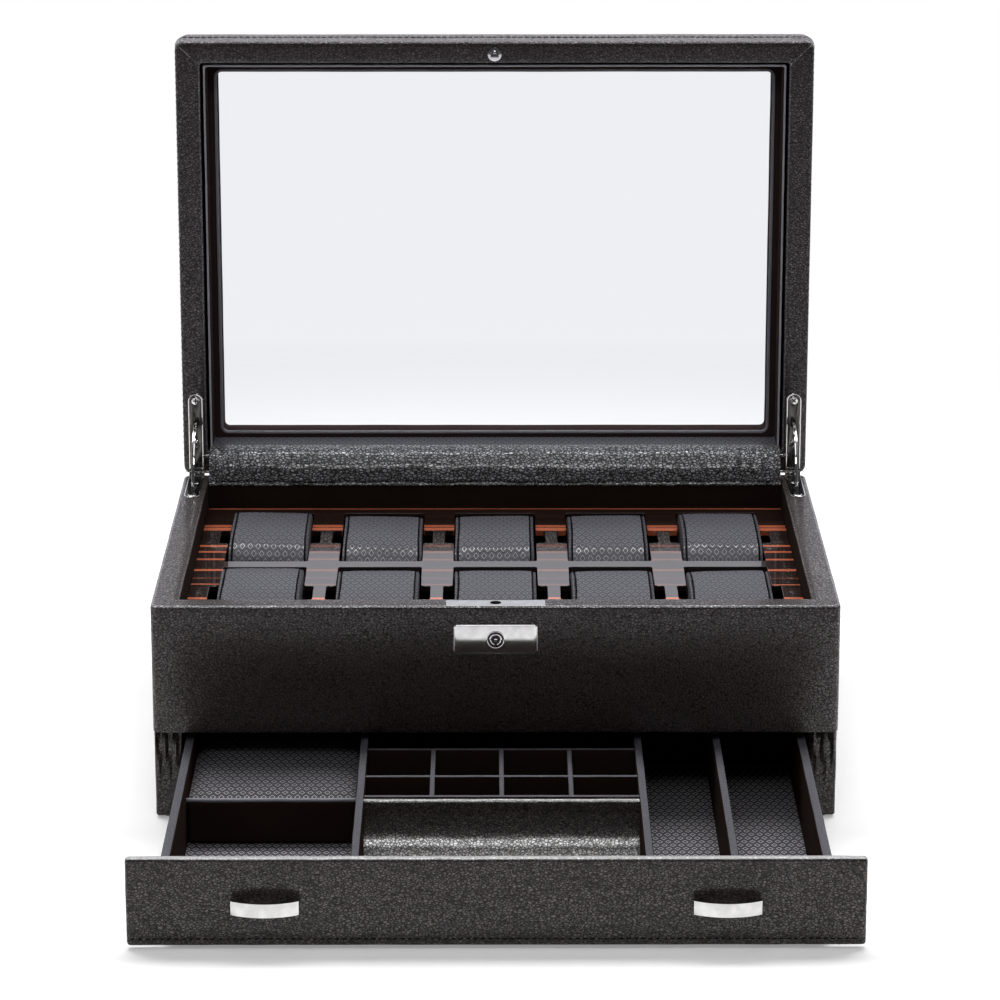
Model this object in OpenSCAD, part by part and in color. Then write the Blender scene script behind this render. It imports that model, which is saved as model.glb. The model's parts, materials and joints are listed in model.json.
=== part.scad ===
// Leather watch box: a case with a glazed lid, a tray of ten watch cuffs and a drawer.
// The origin is at the centre of the underside, +Z is up and the front faces -Y.
// Sizes are in millimetres. The lid stands open and the drawer is pulled out.

/* [Tray] */
// Width of one cuff opening
opening_w = 44; // [40:0.5:50]
// Length of one cuff opening, front to back
opening_l = 89.5; // [86:0.5:100]
// Strip of panel between neighbouring openings
bridge_w = 16.6; // [15:0.2:24]
// Strip of panel between the two rows
row_web = 10.4; // [8:0.2:20]
// Panel left at each end of a row
end_margin = 15.3; // [12:0.1:30]
// Panel left in front of the front row
front_margin = 10.5; // [6:0.5:30]
// Panel left behind the rear row
rear_margin = 14.1; // [6:0.1:30]
// Depth of the finger notch in each side of an opening
notch_d = 5; // [4.4:0.1:5.4]
// Length of a finger notch
notch_l = 23; // [18:0.5:30]
// Thickness of the panel
tray_t = 3; // [2:0.5:5]
// Depth of the panel's face below the rim
tray_drop = 14.5; // [12:0.5:25]
// Thickness of the boards between the wells
well_board_t = 4; // [2:0.5:4]
// Thickness of the board under the wells
well_floor_t = 2; // [1:0.5:4]

/* [Cuffs] */
// Length of a cuff, front to back
cuff_l = 80; // [70:1:84]
// Height of a cuff
cuff_h = 53.7; // [45:0.1:65]
// Height of a cuff's crown above the tray
cuff_rise = 7; // [3:0.5:10]
// Gap at each side of a cuff in its opening
cuff_gap = 0.7; // [0.4:0.1:2]
// Rounding along the side edges of a cuff
cuff_edge_r = 3; // [1:0.5:6]
// Fullness of a cuff's oval section, where 2 is an ellipse
cuff_power = 2.5; // [2:0.1:4]
// Gap under a cuff that lies in its well
seat_gap = 0.3; // [0.3:0.1:0.6]

/* [Case walls] */
// Thickness of each side wall
side_t = 14; // [12:0.5:18]
// Thickness of the upper front panel
front_t = 12; // [11:0.5:16]
// Thickness of the back panel
back_t = 12; // [8:0.5:16]
// Thickness of the lined board inside the back panel
lining_t = 2; // [1:0.5:4]
// Thickness of the shelf between the tray and the drawer
shelf_t = 4; // [3:0.5:8]
// Thickness of the base panel
base_t = 4; // [3:0.5:8]
// Thickness of the felt on the underside
felt_t = 1.2; // [0.8:0.1:2]
// Distance of the felt's edge from the case's edge
felt_inset = 5; // [3:0.5:15]
// Rounding of the upright outer corners
corner_r = 4; // [2:0.5:6]

/* [Lid] */
// Thickness of the lid
lid_t = 38.5; // [34:0.5:50]
// Width of each side rail
lid_side_w = 14; // [12:0.5:18]
// Width of the front rail
lid_front_w = 10.5; // [10:0.5:16]
// Width of the rear rail
lid_rear_w = 13; // [12:0.5:18]
// Thickness of the board that frames the glass
lip_t = 13.5; // [8:0.5:16]
// Board that shows inside each side rail
lip_side = 5.5; // [4:0.5:12]
// Board that shows inside the front rail
lip_front = 7.5; // [4:0.5:12]
// Board that shows inside the rear rail
lip_rear = 7.5; // [4:0.5:12]
// Rounding of the window's corners
window_r = 2.7; // [1:0.1:6]
// Thickness of the glass
glass_t = 3; // [2:0.5:5]
// Depth of the groove that holds the glass
glass_seat = 3; // [2:0.5:3.5]
// Play of the glass in its groove, each way
glass_fit = 0.1; // [0.05:0.05:0.3]
// Gap between the rims of the closed box
lid_gap = 0.4; // [0.3:0.1:0.8]
// Thickness of the lining inside the lid
lid_lining_t = 1; // [0.6:0.2:2]
// Thickness of the leather flap along the hinge line
flap_t = 1.2; // [0.8:0.1:2]
// Gap between the flap's end and a hinge leaf
flap_end_gap = 3; // [2:0.5:6]
// Gap between the flap's edge and the hinge axis
flap_back_gap = 1.5; // [1:0.5:3]

/* [Hinges] */
// Length of a hinge leaf from the hinge axis
leaf_l = 46; // [42:0.5:60]
// Width of a hinge leaf
leaf_w = 8.4; // [8:0.2:10]
// Thickness of a hinge leaf
leaf_t = 1.5; // [1.2:0.1:2]
// Radius of a hinge knuckle
knuckle_r = 2.2; // [1.9:0.1:2.6]
// Radius of a hinge pin
pin_r = 1; // [0.8:0.1:1.2]
// Radial clearance of a hinge pin
pin_fit = 0.04; // [0.02:0.01:0.08]
// Radius of the curved stay about the hinge axis
stay_r = 29; // [27:0.5:32]
// Radial width of a stay
stay_w = 4; // [3:0.5:5]
// Thickness of a stay
stay_t = 1.6; // [1.2:0.1:2]
// Length of the stop at each end of a stay
stay_head_l = 2; // [1.5:0.1:3]
// How far a stop stands out at each edge of a stay
stay_head_lip = 1; // [0.6:0.1:1.5]
// Clearance of a stay in its slots
stay_fit = 0.4; // [0.3:0.1:0.6]
// Radius of a hinge screw's shank
screw_r = 1; // [0.8:0.1:1.2]
// Radius of a hinge screw's head
screw_head_r = 2; // [1.6:0.1:2.4]
// Height of a hinge screw's head
screw_head_h = 0.8; // [0.6:0.1:1]
// Width and depth of the slots in a screw's head
screw_slot = 0.5; // [0.3:0.1:0.6]
// Length of a hinge screw
screw_l = 8; // [6:0.5:10]
// Distance of the inner screw from the hinge axis
inner_screw = 17; // [15:0.5:19]

/* [Lock] */
// Width of the plate round the keyhole
keyplate_w = 42; // [36:0.5:50]
// Height of the plate round the keyhole
keyplate_h = 15.5; // [12:0.5:20]
// Thickness of the plate round the keyhole
keyplate_t = 1.2; // [0.8:0.1:2]
// Depth of the keyhole below the rim
lock_drop = 17.5; // [16.5:0.5:20]
// Length of the plate let into the front rim
rimplate_w = 49.5; // [44:0.5:60]
// Width of the plate let into the front rim
rimplate_d = 8; // [7:0.5:8.5]
// Thickness of the plate let into the front rim
rimplate_t = 1.2; // [0.8:0.1:1.6]
// Distance of the stud from the front face
stud_inset = 5; // [4.6:0.1:5.4]
// Width of the lock's housing
lock_case_w = 36; // [34:0.5:44]
// Thickness of the lock's housing
lock_case_t = 8; // [7.6:0.1:8.5]
// Depth of the lock's housing below the keyhole
lock_case_below = 10; // [8:0.5:16]
// Radius of the stud
stud_r = 2.2; // [1.8:0.1:2.4]
// Radius of the stud's flange
stud_flange_r = 3.8; // [3:0.1:4.4]
// Length of the stud below the closed lid
stud_l = 9; // [8:0.5:10]
// Radius of the stud's neck, which the bolt catches
neck_r = 1.4; // [1:0.1:1.6]
// Thickness of the stud's flange
stud_flange_t = 1.2; // [0.8:0.1:2]
// Radius of the tang that holds the stud in the lid
tang_r = 1.5; // [1.2:0.1:2]
// Radius of the lock barrel
barrel_r = 3.2; // [2.6:0.1:3.6]
// Radial clearance of the lock barrel
barrel_fit = 0.05; // [0.02:0.01:0.08]
// Thickness of the barrel's wall round the keyhole
barrel_wall = 1; // [0.8:0.1:1.4]
// Radius of the post in the keyhole
key_post_r = 0.8; // [0.5:0.1:1]
// Width of the keyway below the post
keyway_w = 1.2; // [0.8:0.1:1.6]
// Depth of the keyhole
key_depth = 4; // [3:0.5:5]
// Length of the barrel's cam from the barrel's axis
cam_l = 4.5; // [3.5:0.1:5]
// Width of the barrel's cam
cam_w = 3; // [2:0.1:4]
// Thickness of the barrel's cam
cam_t = 1.5; // [1:0.1:2]
// Depth of the bolt's middle below the rim
bolt_drop = 6; // [5:0.1:7]
// Distance that the bolt slides
bolt_throw = 4; // [3:0.1:5]
// Thickness of the bolt
bolt_t = 2; // [1.5:0.1:2.4]
// Width of the bolt
bolt_w = 5; // [4.4:0.1:5.4]
// Length of the bolt
bolt_l = 12; // [10:0.5:12.5]

/* [Drawer] */
// Height of the drawer front
drawer_front_h = 43.5; // [40:0.5:60]
// Thickness of the drawer front
drawer_front_t = 5; // [4.5:0.5:8]
// Height of the drawer front's lower edge above the table
drawer_lift = 2; // [1.5:0.5:4]
// Gap between the drawer front and the panel above it
panel_gap = 2.5; // [1:0.5:4]
// Distance that the drawer is pulled out
drawer_out = 166; // [100:1:175]
// Thickness of the drawer's sides
drawer_side_t = 4.5; // [4:0.5:8]
// Gap between a drawer side and the case wall
drawer_side_gap = 2; // [1:0.5:4]
// Thickness of the drawer's back
drawer_back_t = 5; // [4:0.5:8]
// Gap behind the closed drawer
drawer_rear_gap = 1; // [0.5:0.5:4]
// Gap between the closed drawer front and the case
front_gap = 0.3; // [0.3:0.1:1]
// Thickness of the drawer's bottom
drawer_bottom_t = 2.5; // [2:0.5:5]
// Thickness of the drawer's floor lining
drawer_lining_t = 0.8; // [0.6:0.1:2]
// Depth of the drawer's sides below the top of its front
drawer_rim_drop = 2; // [0:0.5:6]
// Thickness of the runners under the drawer
runner_t = 1.5; // [1:0.5:3]
// Width of the runners
runner_w = 6; // [4:0.5:10]
// Gap between the runners and the drawer
run_gap = 0.3; // [0.3:0.1:0.6]
// Width of the left compartments
left_col_w = 84; // [60:1:100]
// Length of the left front compartment
left_front_l = 104.5; // [60:0.1:130]
// Height of the raised pad behind it, above the drawer's floor lining
pad_h = 23.3; // [10:0.1:30]
// Width of the long compartment beside the middle
inner_col_w = 35.7; // [25:0.1:45]
// Width of the long compartment at the right
outer_col_w = 38.7; // [25:0.1:45]
// Thickness of the long dividers
divider_t = 4; // [3:0.5:6]
// Length of the scoop in front of the small compartments
scoop_l = 76.4; // [60:0.1:90]
// Thickness of the scoop's rear wall
scoop_rim = 6.8; // [3:0.1:10]
// Thickness of the scoop's floor
scoop_floor_t = 1; // [0.6:0.1:3]
// Thickness of the small dividers
grid_t = 2; // [1:0.5:4]
// Length of the front row of small compartments
grid_row_1 = 26; // [20:0.5:35]
// Length of the rear row of small compartments
grid_row_2 = 37; // [20:0.5:45]

/* [Drawer pulls] */
// Distance of each pull from the middle of the drawer
pull_x = 107.5; // [90:0.5:125]
// Width of a pull
pull_w = 31.7; // [26:0.1:40]
// Height of a pull
pull_h = 6.8; // [5.5:0.1:12]
// Thickness of a pull
pull_t = 2.2; // [1.5:0.1:3]
// Bow of a pull's face
pull_bow = 4; // [2:0.1:8]
// Gap behind the ends of a pull
pull_stand = 4; // [4:0.5:8]
// Radius of a pull's two posts
post_r = 2.4; // [2:0.1:3]
// Distance of a post from the end of its pull
post_inset = 2; // [1:0.5:4]
// Height of a pull's middle above the drawer front's lower edge
pull_z = 21.5; // [14:0.5:30]

/* [Hidden] */
$fn = 64;
columns = 5;
rows = 2;
// Sides of the small round pieces that nothing turns on
screw_sides = 12;
// Sides of a cuff's oval section
cuff_sides = 36;
// How far a cut runs past the face that it opens
cut = 1;
// Play of a fixed piece in its seat
fit = 0.1;
// Play of a screw in its hole
screw_fit = 0.05;

// Heights of the main levels above the table
base_z = felt_t + base_t;
panel_z = drawer_lift + drawer_front_h + panel_gap;
well_z = panel_z + shelf_t + well_floor_t;
tray_z = well_z + seat_gap + cuff_h - cuff_rise;
case_h = tray_z + tray_drop;

// Outside and inside of the case
case_w = 2 * (side_t + end_margin) + columns * opening_w + (columns - 1) * bridge_w;
case_d = front_t + front_margin + rows * opening_l + row_web + rear_margin + lining_t + back_t;
front_y = -case_d / 2;
back_y = case_d / 2;
inner_x = case_w / 2 - side_t;
panel_back_y = front_y + front_t;
wall_back_y = back_y - back_t;
lining_y = wall_back_y - lining_t;
leg_y = front_y + drawer_front_t + front_gap;
flap_room = flap_t + lid_gap / 2;

// Hinge axis and lid levels, with the lid closed
hinge_y = back_y;
hinge_z = case_h + lid_gap / 2;
lid_z = case_h + lid_gap;
lip_z = lid_z + lid_t - lip_t;
lid_in_x = case_w / 2 - lid_side_w;
lid_in_y0 = front_y + lid_front_w;
lid_in_y1 = back_y - lid_rear_w;
window_x = lid_in_x - lip_side;
window_y0 = lid_in_y0 + lip_front;
window_y1 = lid_in_y1 - lip_rear;
glass_z = lip_z + (lip_t - glass_t) / 2;
leaf_x = case_w / 2 - side_t / 2;
flap_x = leaf_x - leaf_w / 2 - flap_end_gap;
flap_y1 = hinge_y - flap_back_gap;

// Hinge stay: how far it reaches past a leaf, its stop and its sweep, as angles
knuckle_gap = 0.15;
middle_l = leaf_w / 3;
stay_head_w = stay_w + 2 * stay_head_lip;
half_turn = 180;
stay_past = (lid_gap / 2 + leaf_t + stay_fit) / stay_r * half_turn / PI;
stay_head_a = stay_head_l / stay_r * half_turn / PI;
stay_sweep = 45;
stay_spare = 3;
pocket_a = stay_past + stay_head_a + stay_sweep + stay_spare;

// Lock
lock_y = front_y + stud_inset;
lock_z = case_h - lock_drop;
lock_top = case_h - rimplate_t;
lock_case_h = lock_drop + lock_case_below;
// Room round the stud and the cam, play of the bolt, and how far the barrel stands past its seats
stud_clear = 0.6;
bolt_play = 0.3;
barrel_proud = 0.3;
barrel_past = 0.5;
bolt_z = case_h - bolt_drop;
bolt_x = stud_r + 2 * stud_clear;
barrel_end_y = lock_y + barrel_past;

// Drawer, in its closed place
drawer_z = base_z + runner_t + run_gap;
drawer_top = drawer_lift + drawer_front_h - drawer_rim_drop;
drawer_y = front_y + drawer_front_t;
drawer_end = wall_back_y - drawer_rear_gap;
drawer_out_x = inner_x - drawer_side_gap;
drawer_in_x = drawer_out_x - drawer_side_t;
drawer_back_y = drawer_end - drawer_back_t;
floor_z = drawer_z + drawer_bottom_t;
lining_top = floor_z + drawer_lining_t;
divider_h = drawer_top - lining_top;
left_divider_x = -drawer_in_x + left_col_w;
right_divider_x = drawer_in_x - outer_col_w - divider_t;
middle_divider_x = right_divider_x - inner_col_w - divider_t;
mid_x0 = left_divider_x + divider_t;
mid_w = middle_divider_x - mid_x0;
grid_cells = 4;
grid_cell_w = (mid_w - (grid_cells - 1) * grid_t) / grid_cells;
grid_y = drawer_y + scoop_l + scoop_rim;
grid_ys = [grid_y, grid_y + grid_t + grid_row_1, grid_y + 2 * grid_t + grid_row_1 + grid_row_2];
scoop_r = divider_h - scoop_floor_t;
pull_r = pull_w * pull_w / (8 * pull_bow) + pull_bow / 2;
post_x = pull_w / 2 - post_r - post_inset;

leather = "#2c2a2c";
fabric = "#55565c";
ebony = "#5a2d1c";
nickel = "#c9c7c2";
felt = "#1c1c1e";

CUFF_ROWS = ["front", "rear"];
function cuff_name(row, column) = str(CUFF_ROWS[row], "_cuff_", column + 1);
function column_x(column) = (column - (columns - 1) / 2) * (opening_w + bridge_w);
function row_y(row) = panel_back_y + front_margin + opening_l / 2 + row * (opening_l + row_web);

// A box between two corners
module block(low, high) {
    translate(low) cube(high - low);
}

// A flat outline with round corners
module rounded(w, d, r) {
    square([w - 2 * r, d], center = true);
    square([w, d - 2 * r], center = true);
    for (x = [-1, 1], y = [-1, 1]) translate([x * (w / 2 - r), y * (d / 2 - r)]) circle(r);
}

// The plan of the closed box
module case_plan() {
    rounded(case_w, case_d, corner_r);
}

// The slab of the case's plan between two depths, from height low to height high
module plan_slab(y0, y1, low, high) {
    translate([0, 0, low]) linear_extrude(high - low) intersection() {
        case_plan();
        translate([-case_w / 2, y0]) square([case_w, y1 - y0]);
    }
}

// A cylinder along X from x0 to x1
module rod_x(r, x0, x1) {
    translate([x0, 0, 0]) rotate([0, 90, 0]) cylinder(r = r, h = x1 - x0);
}

// A cylinder along Y from y0 to y1
module rod_y(r, y0, y1) {
    translate([0, y0, 0]) rotate([-90, 0, 0]) cylinder(r = r, h = y1 - y0);
}

// A curved bar about the X axis, from angle a0 to a1, where 0 points to the back and 90 points up
module curved_bar(r, w, t, a0, a1) {
    rotate([90, 0, 90]) rotate([0, 0, a0]) rotate_extrude(angle = a1 - a0)
        translate([r - w / 2, -t / 2]) square([w, t]);
}

// Moves the closed lid's pieces to the open lid
module open_lid() {
    translate([0, hinge_y, hinge_z]) rotate([-90, 0, 0]) translate([0, -hinge_y, -hinge_z]) children();
}

// Places a piece at the right hinge's axis
module at_hinge() {
    translate([leaf_x, hinge_y, hinge_z]) children();
}

// Moves the closed drawer's pieces to the open drawer
module open_drawer() {
    translate([0, -drawer_out, 0]) children();
}

// The places of the two screws along a leaf
module at_screws() {
    for (y = [inner_screw, leaf_l - leaf_w / 2]) translate([0, -y, -lid_gap / 2]) children();
}

// A flat-headed screw that points down, with the top of its head at the origin
module screw_body(play) {
    translate([0, 0, -screw_head_h]) cylinder(r = screw_head_r + play, h = screw_head_h, $fn = screw_sides);
    translate([0, 0, -screw_l]) cylinder(r = screw_r + play, h = screw_l, $fn = screw_sides);
}

module screw() {
    arm = screw_head_r - screw_slot;
    half = screw_slot / 2;
    difference() {
        screw_body(0);
        block([-arm, -half, -screw_slot], [arm, half, cut]);
        block([-half, -arm, -screw_slot], [half, arm, cut]);
    }
}

// The outline of a leaf, with its round end away from the axis
module leaf_plate(play, up) {
    end_y = leaf_w / 2 - leaf_l;
    translate([0, 0, -lid_gap / 2 - leaf_t]) linear_extrude(leaf_t + up) union() {
        translate([-leaf_w / 2 - play, end_y]) square([leaf_w + 2 * play, -end_y]);
        translate([0, end_y]) circle(leaf_w / 2 + play);
    }
}

// One hinge knuckle of each kind: the middle one, or the two outer ones
module knuckles(r, middle, play) {
    if (middle) {
        rod_x(r, -middle_l / 2 - play, middle_l / 2 + play);
    } else {
        for (s = [0, 1]) mirror([s, 0, 0]) rod_x(r, middle_l / 2 + knuckle_gap - play, leaf_w / 2 + play);
    }
}

// A hinge leaf about the hinge axis, let into the rim below it
module leaf(middle) {
    difference() {
        union() {
            difference() {
                leaf_plate(0, 0);
                knuckles(knuckle_r + stay_fit, !middle, knuckle_gap);
            }
            knuckles(knuckle_r, middle, 0);
        }
        rod_x(pin_r + pin_fit, -leaf_w, leaf_w);
        curved_bar(stay_r, stay_w + 2 * stay_fit, stay_t + 2 * stay_fit,
                   half_turn - stay_spare, half_turn + 2 * stay_past);
        at_screws() screw_body(screw_fit);
    }
}

// What a leaf, its screws and its stay take out of the wood
module leaf_cut() {
    leaf_plate(fit, cut);
    rod_x(knuckle_r + stay_fit, -leaf_w / 2 - stay_fit, leaf_w / 2 + stay_fit);
    curved_bar(stay_r, stay_head_w + 2 * stay_fit, stay_t + 2 * stay_fit,
               half_turn, half_turn + pocket_a);
    at_screws() screw_body(screw_fit);
}

module front_panel() {
    color(leather) difference() {
        plan_slab(front_y, panel_back_y, panel_z, case_h);
        block([-lock_case_w / 2 - fit, lock_y - lock_case_t / 2 - fit, lock_top - lock_case_h],
              [lock_case_w / 2 + fit, lock_y + lock_case_t / 2 + fit, case_h + cut]);
        block([-rimplate_w / 2 - fit, lock_y - rimplate_d / 2 - fit, lock_top],
              [rimplate_w / 2 + fit, lock_y + rimplate_d / 2 + fit, case_h + cut]);
        translate([0, 0, lock_z]) rod_y(barrel_r + stud_clear, front_y - cut, lock_y);
    }
}

module right_side() {
    color(leather) difference() {
        union() {
            intersection() {
                plan_slab(panel_back_y, back_y, felt_t, case_h);
                block([inner_x, front_y, 0], [case_w / 2, back_y, case_h]);
            }
            block([inner_x, leg_y, felt_t], [case_w / 2, 0, panel_z]);
        }
        at_hinge() leaf_cut();
    }
}

module left_side() {
    mirror([1, 0, 0]) right_side();
}

module back_panel() {
    color(leather) block([-inner_x, wall_back_y, felt_t], [inner_x, back_y, case_h - flap_room]);
}

module middle_shelf() {
    color(fabric) block([-inner_x, panel_back_y, panel_z], [inner_x, wall_back_y, panel_z + shelf_t]);
}

module base_panel() {
    color(leather) block([-inner_x, leg_y, felt_t], [inner_x, wall_back_y, base_z]);
}

module base_felt() {
    color(felt) block([felt_inset - case_w / 2, leg_y + felt_inset, 0],
                      [case_w / 2 - felt_inset, back_y - felt_inset, felt_t]);
}

// The veneered panel with a cross-shaped opening for each cuff
module watch_tray() {
    color(ebony) translate([0, 0, tray_z - tray_t]) linear_extrude(tray_t) difference() {
        translate([-inner_x, panel_back_y]) square([2 * inner_x, lining_y - panel_back_y]);
        for (row = [0:rows - 1], column = [0:columns - 1]) translate([column_x(column), row_y(row)]) {
            square([opening_w, opening_l], center = true);
            square([opening_w + 2 * notch_d, notch_l], center = true);
        }
    }
}

module well_floor() {
    color(felt) block([-inner_x, panel_back_y, panel_z + shelf_t], [inner_x, lining_y, well_z]);
}

// The long board between the rows, and the short boards between the columns
module well_boards() {
    web_y = (row_y(0) + row_y(1)) / 2;
    half = well_board_t / 2;
    top = tray_z - tray_t;
    color(felt) {
        block([-inner_x, web_y - half, well_z], [inner_x, web_y + half, top]);
        for (column = [0:columns - 2]) {
            x = column_x(column) + (opening_w + bridge_w) / 2;
            block([x - half, panel_back_y, well_z], [x + half, web_y - half - fit, top]);
            block([x - half, web_y + half + fit, well_z], [x + half, lining_y, top]);
        }
    }
}

module back_lining() {
    color(felt) block([-inner_x, lining_y, panel_z + shelf_t], [inner_x, wall_back_y, case_h - flap_room]);
}

module case_flap() {
    color(leather) block([-flap_x, lining_y, case_h - flap_room],
                         [flap_x, flap_y1, case_h - flap_room + flap_t]);
}

module right_lower_leaf() {
    color(nickel) at_hinge() leaf(false);
}

module left_lower_leaf() {
    mirror([1, 0, 0]) right_lower_leaf();
}

module hinge_pins() {
    color(nickel) for (s = [0, 1]) mirror([s, 0, 0]) at_hinge() rod_x(pin_r, -leaf_w / 2, leaf_w / 2);
}

module lower_hinge_screws() {
    color(nickel) for (s = [0, 1]) mirror([s, 0, 0]) at_hinge() at_screws() screw();
}

module lock_keyplate() {
    color(nickel) difference() {
        block([-keyplate_w / 2, front_y - keyplate_t, lock_z - keyplate_h / 2],
              [keyplate_w / 2, front_y, lock_z + keyplate_h / 2]);
        translate([0, 0, lock_z]) rod_y(barrel_r + barrel_fit, front_y - keyplate_t - cut, front_y + cut);
    }
}

// The lock's housing in the front panel, bored for the stud, the barrel, the cam and the bolt
module lock_case() {
    half_w = lock_case_w / 2;
    half_t = lock_case_t / 2;
    bolt_half = bolt_w / 2 + bolt_play;
    cam_room = cam_l + 2 * stud_clear;
    color(nickel) difference() {
        block([-half_w, lock_y - half_t, lock_top - lock_case_h], [half_w, lock_y + half_t, lock_top]);
        translate([0, lock_y, lock_top - stud_l]) cylinder(r = stud_r + stud_clear, h = stud_l + cut);
        translate([0, 0, lock_z]) {
            rod_y(barrel_r + barrel_fit, lock_y - half_t - cut, barrel_end_y);
            block([-cam_room, barrel_end_y - bolt_play, -cam_room],
                  [cam_room, barrel_end_y + cam_t + bolt_play, cam_room]);
        }
        block([bolt_x - bolt_throw - bolt_play, lock_y - bolt_half, bolt_z - bolt_t / 2 - bolt_play],
              [bolt_x + bolt_l + bolt_play, lock_y + bolt_half, bolt_z + bolt_t / 2 + bolt_play]);
    }
}

module lock_rimplate() {
    color(nickel) difference() {
        block([-rimplate_w / 2, lock_y - rimplate_d / 2, lock_top],
              [rimplate_w / 2, lock_y + rimplate_d / 2, case_h]);
        translate([0, lock_y, lock_top - cut]) cylinder(r = stud_r + stud_clear, h = rimplate_t + 2 * cut);
    }
}

module drawer_runners() {
    color(felt) for (s = [0, 1]) mirror([s, 0, 0])
        block([drawer_out_x - runner_w, leg_y, base_z], [drawer_out_x, wall_back_y, base_z + runner_t]);
}

// The whole frame of the closed lid, before it is parted at the mitres
module lid_frame() {
    lid_depth = lid_t + 2 * cut;
    groove = glass_t + 2 * glass_fit;
    window_w = 2 * window_x;
    window_d = window_y1 - window_y0;
    window_y = (window_y0 + window_y1) / 2;
    difference() {
        translate([0, 0, lid_z]) linear_extrude(lid_t) case_plan();
        block([-lid_in_x, lid_in_y0, lid_z - cut], [lid_in_x, lid_in_y1, lip_z]);
        translate([0, window_y, lid_z - cut]) linear_extrude(lid_depth) rounded(window_w, window_d, window_r);
        translate([-window_x - glass_seat, window_y0 - glass_seat, glass_z - glass_fit])
            cube([window_w + 2 * glass_seat, window_d + 2 * glass_seat, groove]);
        block([-flap_x - fit, lid_in_y1 - cut, lid_z - cut], [flap_x + fit, back_y + cut, lid_z + flap_room]);
        for (s = [0, 1]) mirror([s, 0, 0]) at_hinge() mirror([0, 0, 1]) leaf_cut();
        translate([0, lock_y, lid_z]) stud_body(fit, screw_fit);
    }
}

// One rail: what the frame holds between the mitres at two outer corners
module lid_rail(corner_a, corner_b) {
    reach = 1.1;
    inner_a = [sign(corner_a.x) * window_x, corner_a.y < 0 ? window_y0 : window_y1];
    inner_b = [sign(corner_b.x) * window_x, corner_b.y < 0 ? window_y0 : window_y1];
    color(leather) open_lid() intersection() {
        lid_frame();
        translate([0, 0, lid_z - cut]) linear_extrude(lid_t + 2 * cut)
            polygon([corner_a, corner_b, corner_b + reach * (inner_b - corner_b),
                     corner_a + reach * (inner_a - corner_a)]);
    }
}

module lid_front_rail() {
    lid_rail([-case_w / 2, front_y], [case_w / 2, front_y]);
}

module lid_rear_rail() {
    lid_rail([case_w / 2, back_y], [-case_w / 2, back_y]);
}

module lid_right_rail() {
    lid_rail([case_w / 2, front_y], [case_w / 2, back_y]);
}

module lid_left_rail() {
    mirror([1, 0, 0]) lid_right_rail();
}

module lid_glass() {
    seat = glass_seat - glass_fit;
    color("lightblue", 0.3) open_lid()
        block([-window_x - seat, window_y0 - seat, glass_z],
              [window_x + seat, window_y1 + seat, glass_z + glass_t]);
}

module lid_lining() {
    rim = lid_z + flap_room + fit;
    color(fabric) open_lid() difference() {
        block([-lid_in_x, lid_in_y0, rim], [lid_in_x, lid_in_y1, lip_z]);
        block([lid_lining_t - lid_in_x, lid_in_y0 + lid_lining_t, rim - cut],
              [lid_in_x - lid_lining_t, lid_in_y1 - lid_lining_t, lip_z + cut]);
    }
}

module lid_flap() {
    color(leather) open_lid()
        block([-flap_x, lid_in_y1, lid_z + flap_room - flap_t], [flap_x, flap_y1, lid_z + flap_room]);
}

module right_upper_leaf() {
    color(nickel) open_lid() at_hinge() mirror([0, 0, 1]) leaf(true);
}

module left_upper_leaf() {
    mirror([1, 0, 0]) right_upper_leaf();
}

module upper_hinge_screws() {
    color(nickel) open_lid() for (s = [0, 1]) mirror([s, 0, 0])
        at_hinge() mirror([0, 0, 1]) at_screws() screw();
}

// The stud's flange and tang above the rim, and its shank below
module stud_body(play, tang_play) {
    cylinder(r = stud_flange_r + play, h = stud_flange_t);
    cylinder(r = tang_r + tang_play, h = stud_l, $fn = screw_sides);
    translate([0, 0, -stud_l]) cylinder(r = stud_r, h = stud_l);
}

module lock_stud() {
    neck_h = bolt_t + 2 * bolt_play;
    color(nickel) open_lid() difference() {
        translate([0, lock_y, lid_z]) stud_body(0, 0);
        translate([0, lock_y, bolt_z - neck_h / 2]) difference() {
            cylinder(r = stud_r + cut, h = neck_h);
            translate([0, 0, -cut]) cylinder(r = neck_r, h = neck_h + 2 * cut);
        }
    }
}

// The curved stay that holds the lid upright, with a stop at each end
module right_stay() {
    low = 90 - stay_past;
    high = half_turn + stay_past;
    color(nickel) at_hinge() union() {
        curved_bar(stay_r, stay_w, stay_t, low - stay_head_a, high + stay_head_a);
        curved_bar(stay_r, stay_head_w, stay_t, low - stay_head_a, low);
        curved_bar(stay_r, stay_head_w, stay_t, high, high + stay_head_a);
    }
}

module left_stay() {
    mirror([1, 0, 0]) right_stay();
}

module drawer_front() {
    color(leather) open_drawer() difference() {
        block([-case_w / 2, front_y, drawer_lift], [case_w / 2, drawer_y, drawer_lift + drawer_front_h]);
        at_pull_screws() screw_body(screw_fit);
    }
}

module drawer_right_side() {
    color(leather) open_drawer()
        block([drawer_in_x, drawer_y, drawer_z], [drawer_out_x, drawer_end, drawer_top]);
}

module drawer_left_side() {
    mirror([1, 0, 0]) drawer_right_side();
}

module drawer_back() {
    color(leather) open_drawer()
        block([-drawer_in_x, drawer_back_y, drawer_z], [drawer_in_x, drawer_end, drawer_top]);
}

module drawer_bottom() {
    color(leather) open_drawer()
        block([-drawer_in_x, drawer_y, drawer_z], [drawer_in_x, drawer_back_y, floor_z]);
}

module drawer_lining() {
    color(fabric) open_drawer()
        block([-drawer_in_x, drawer_y, floor_z], [drawer_in_x, drawer_back_y, lining_top]);
}

// A divider that runs from the drawer's front to its back
module long_divider(x) {
    color(fabric) open_drawer()
        block([x, drawer_y, lining_top], [x + divider_t, drawer_back_y, drawer_top]);
}

module left_divider() {
    long_divider(left_divider_x);
}

module middle_divider() {
    long_divider(middle_divider_x);
}

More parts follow.
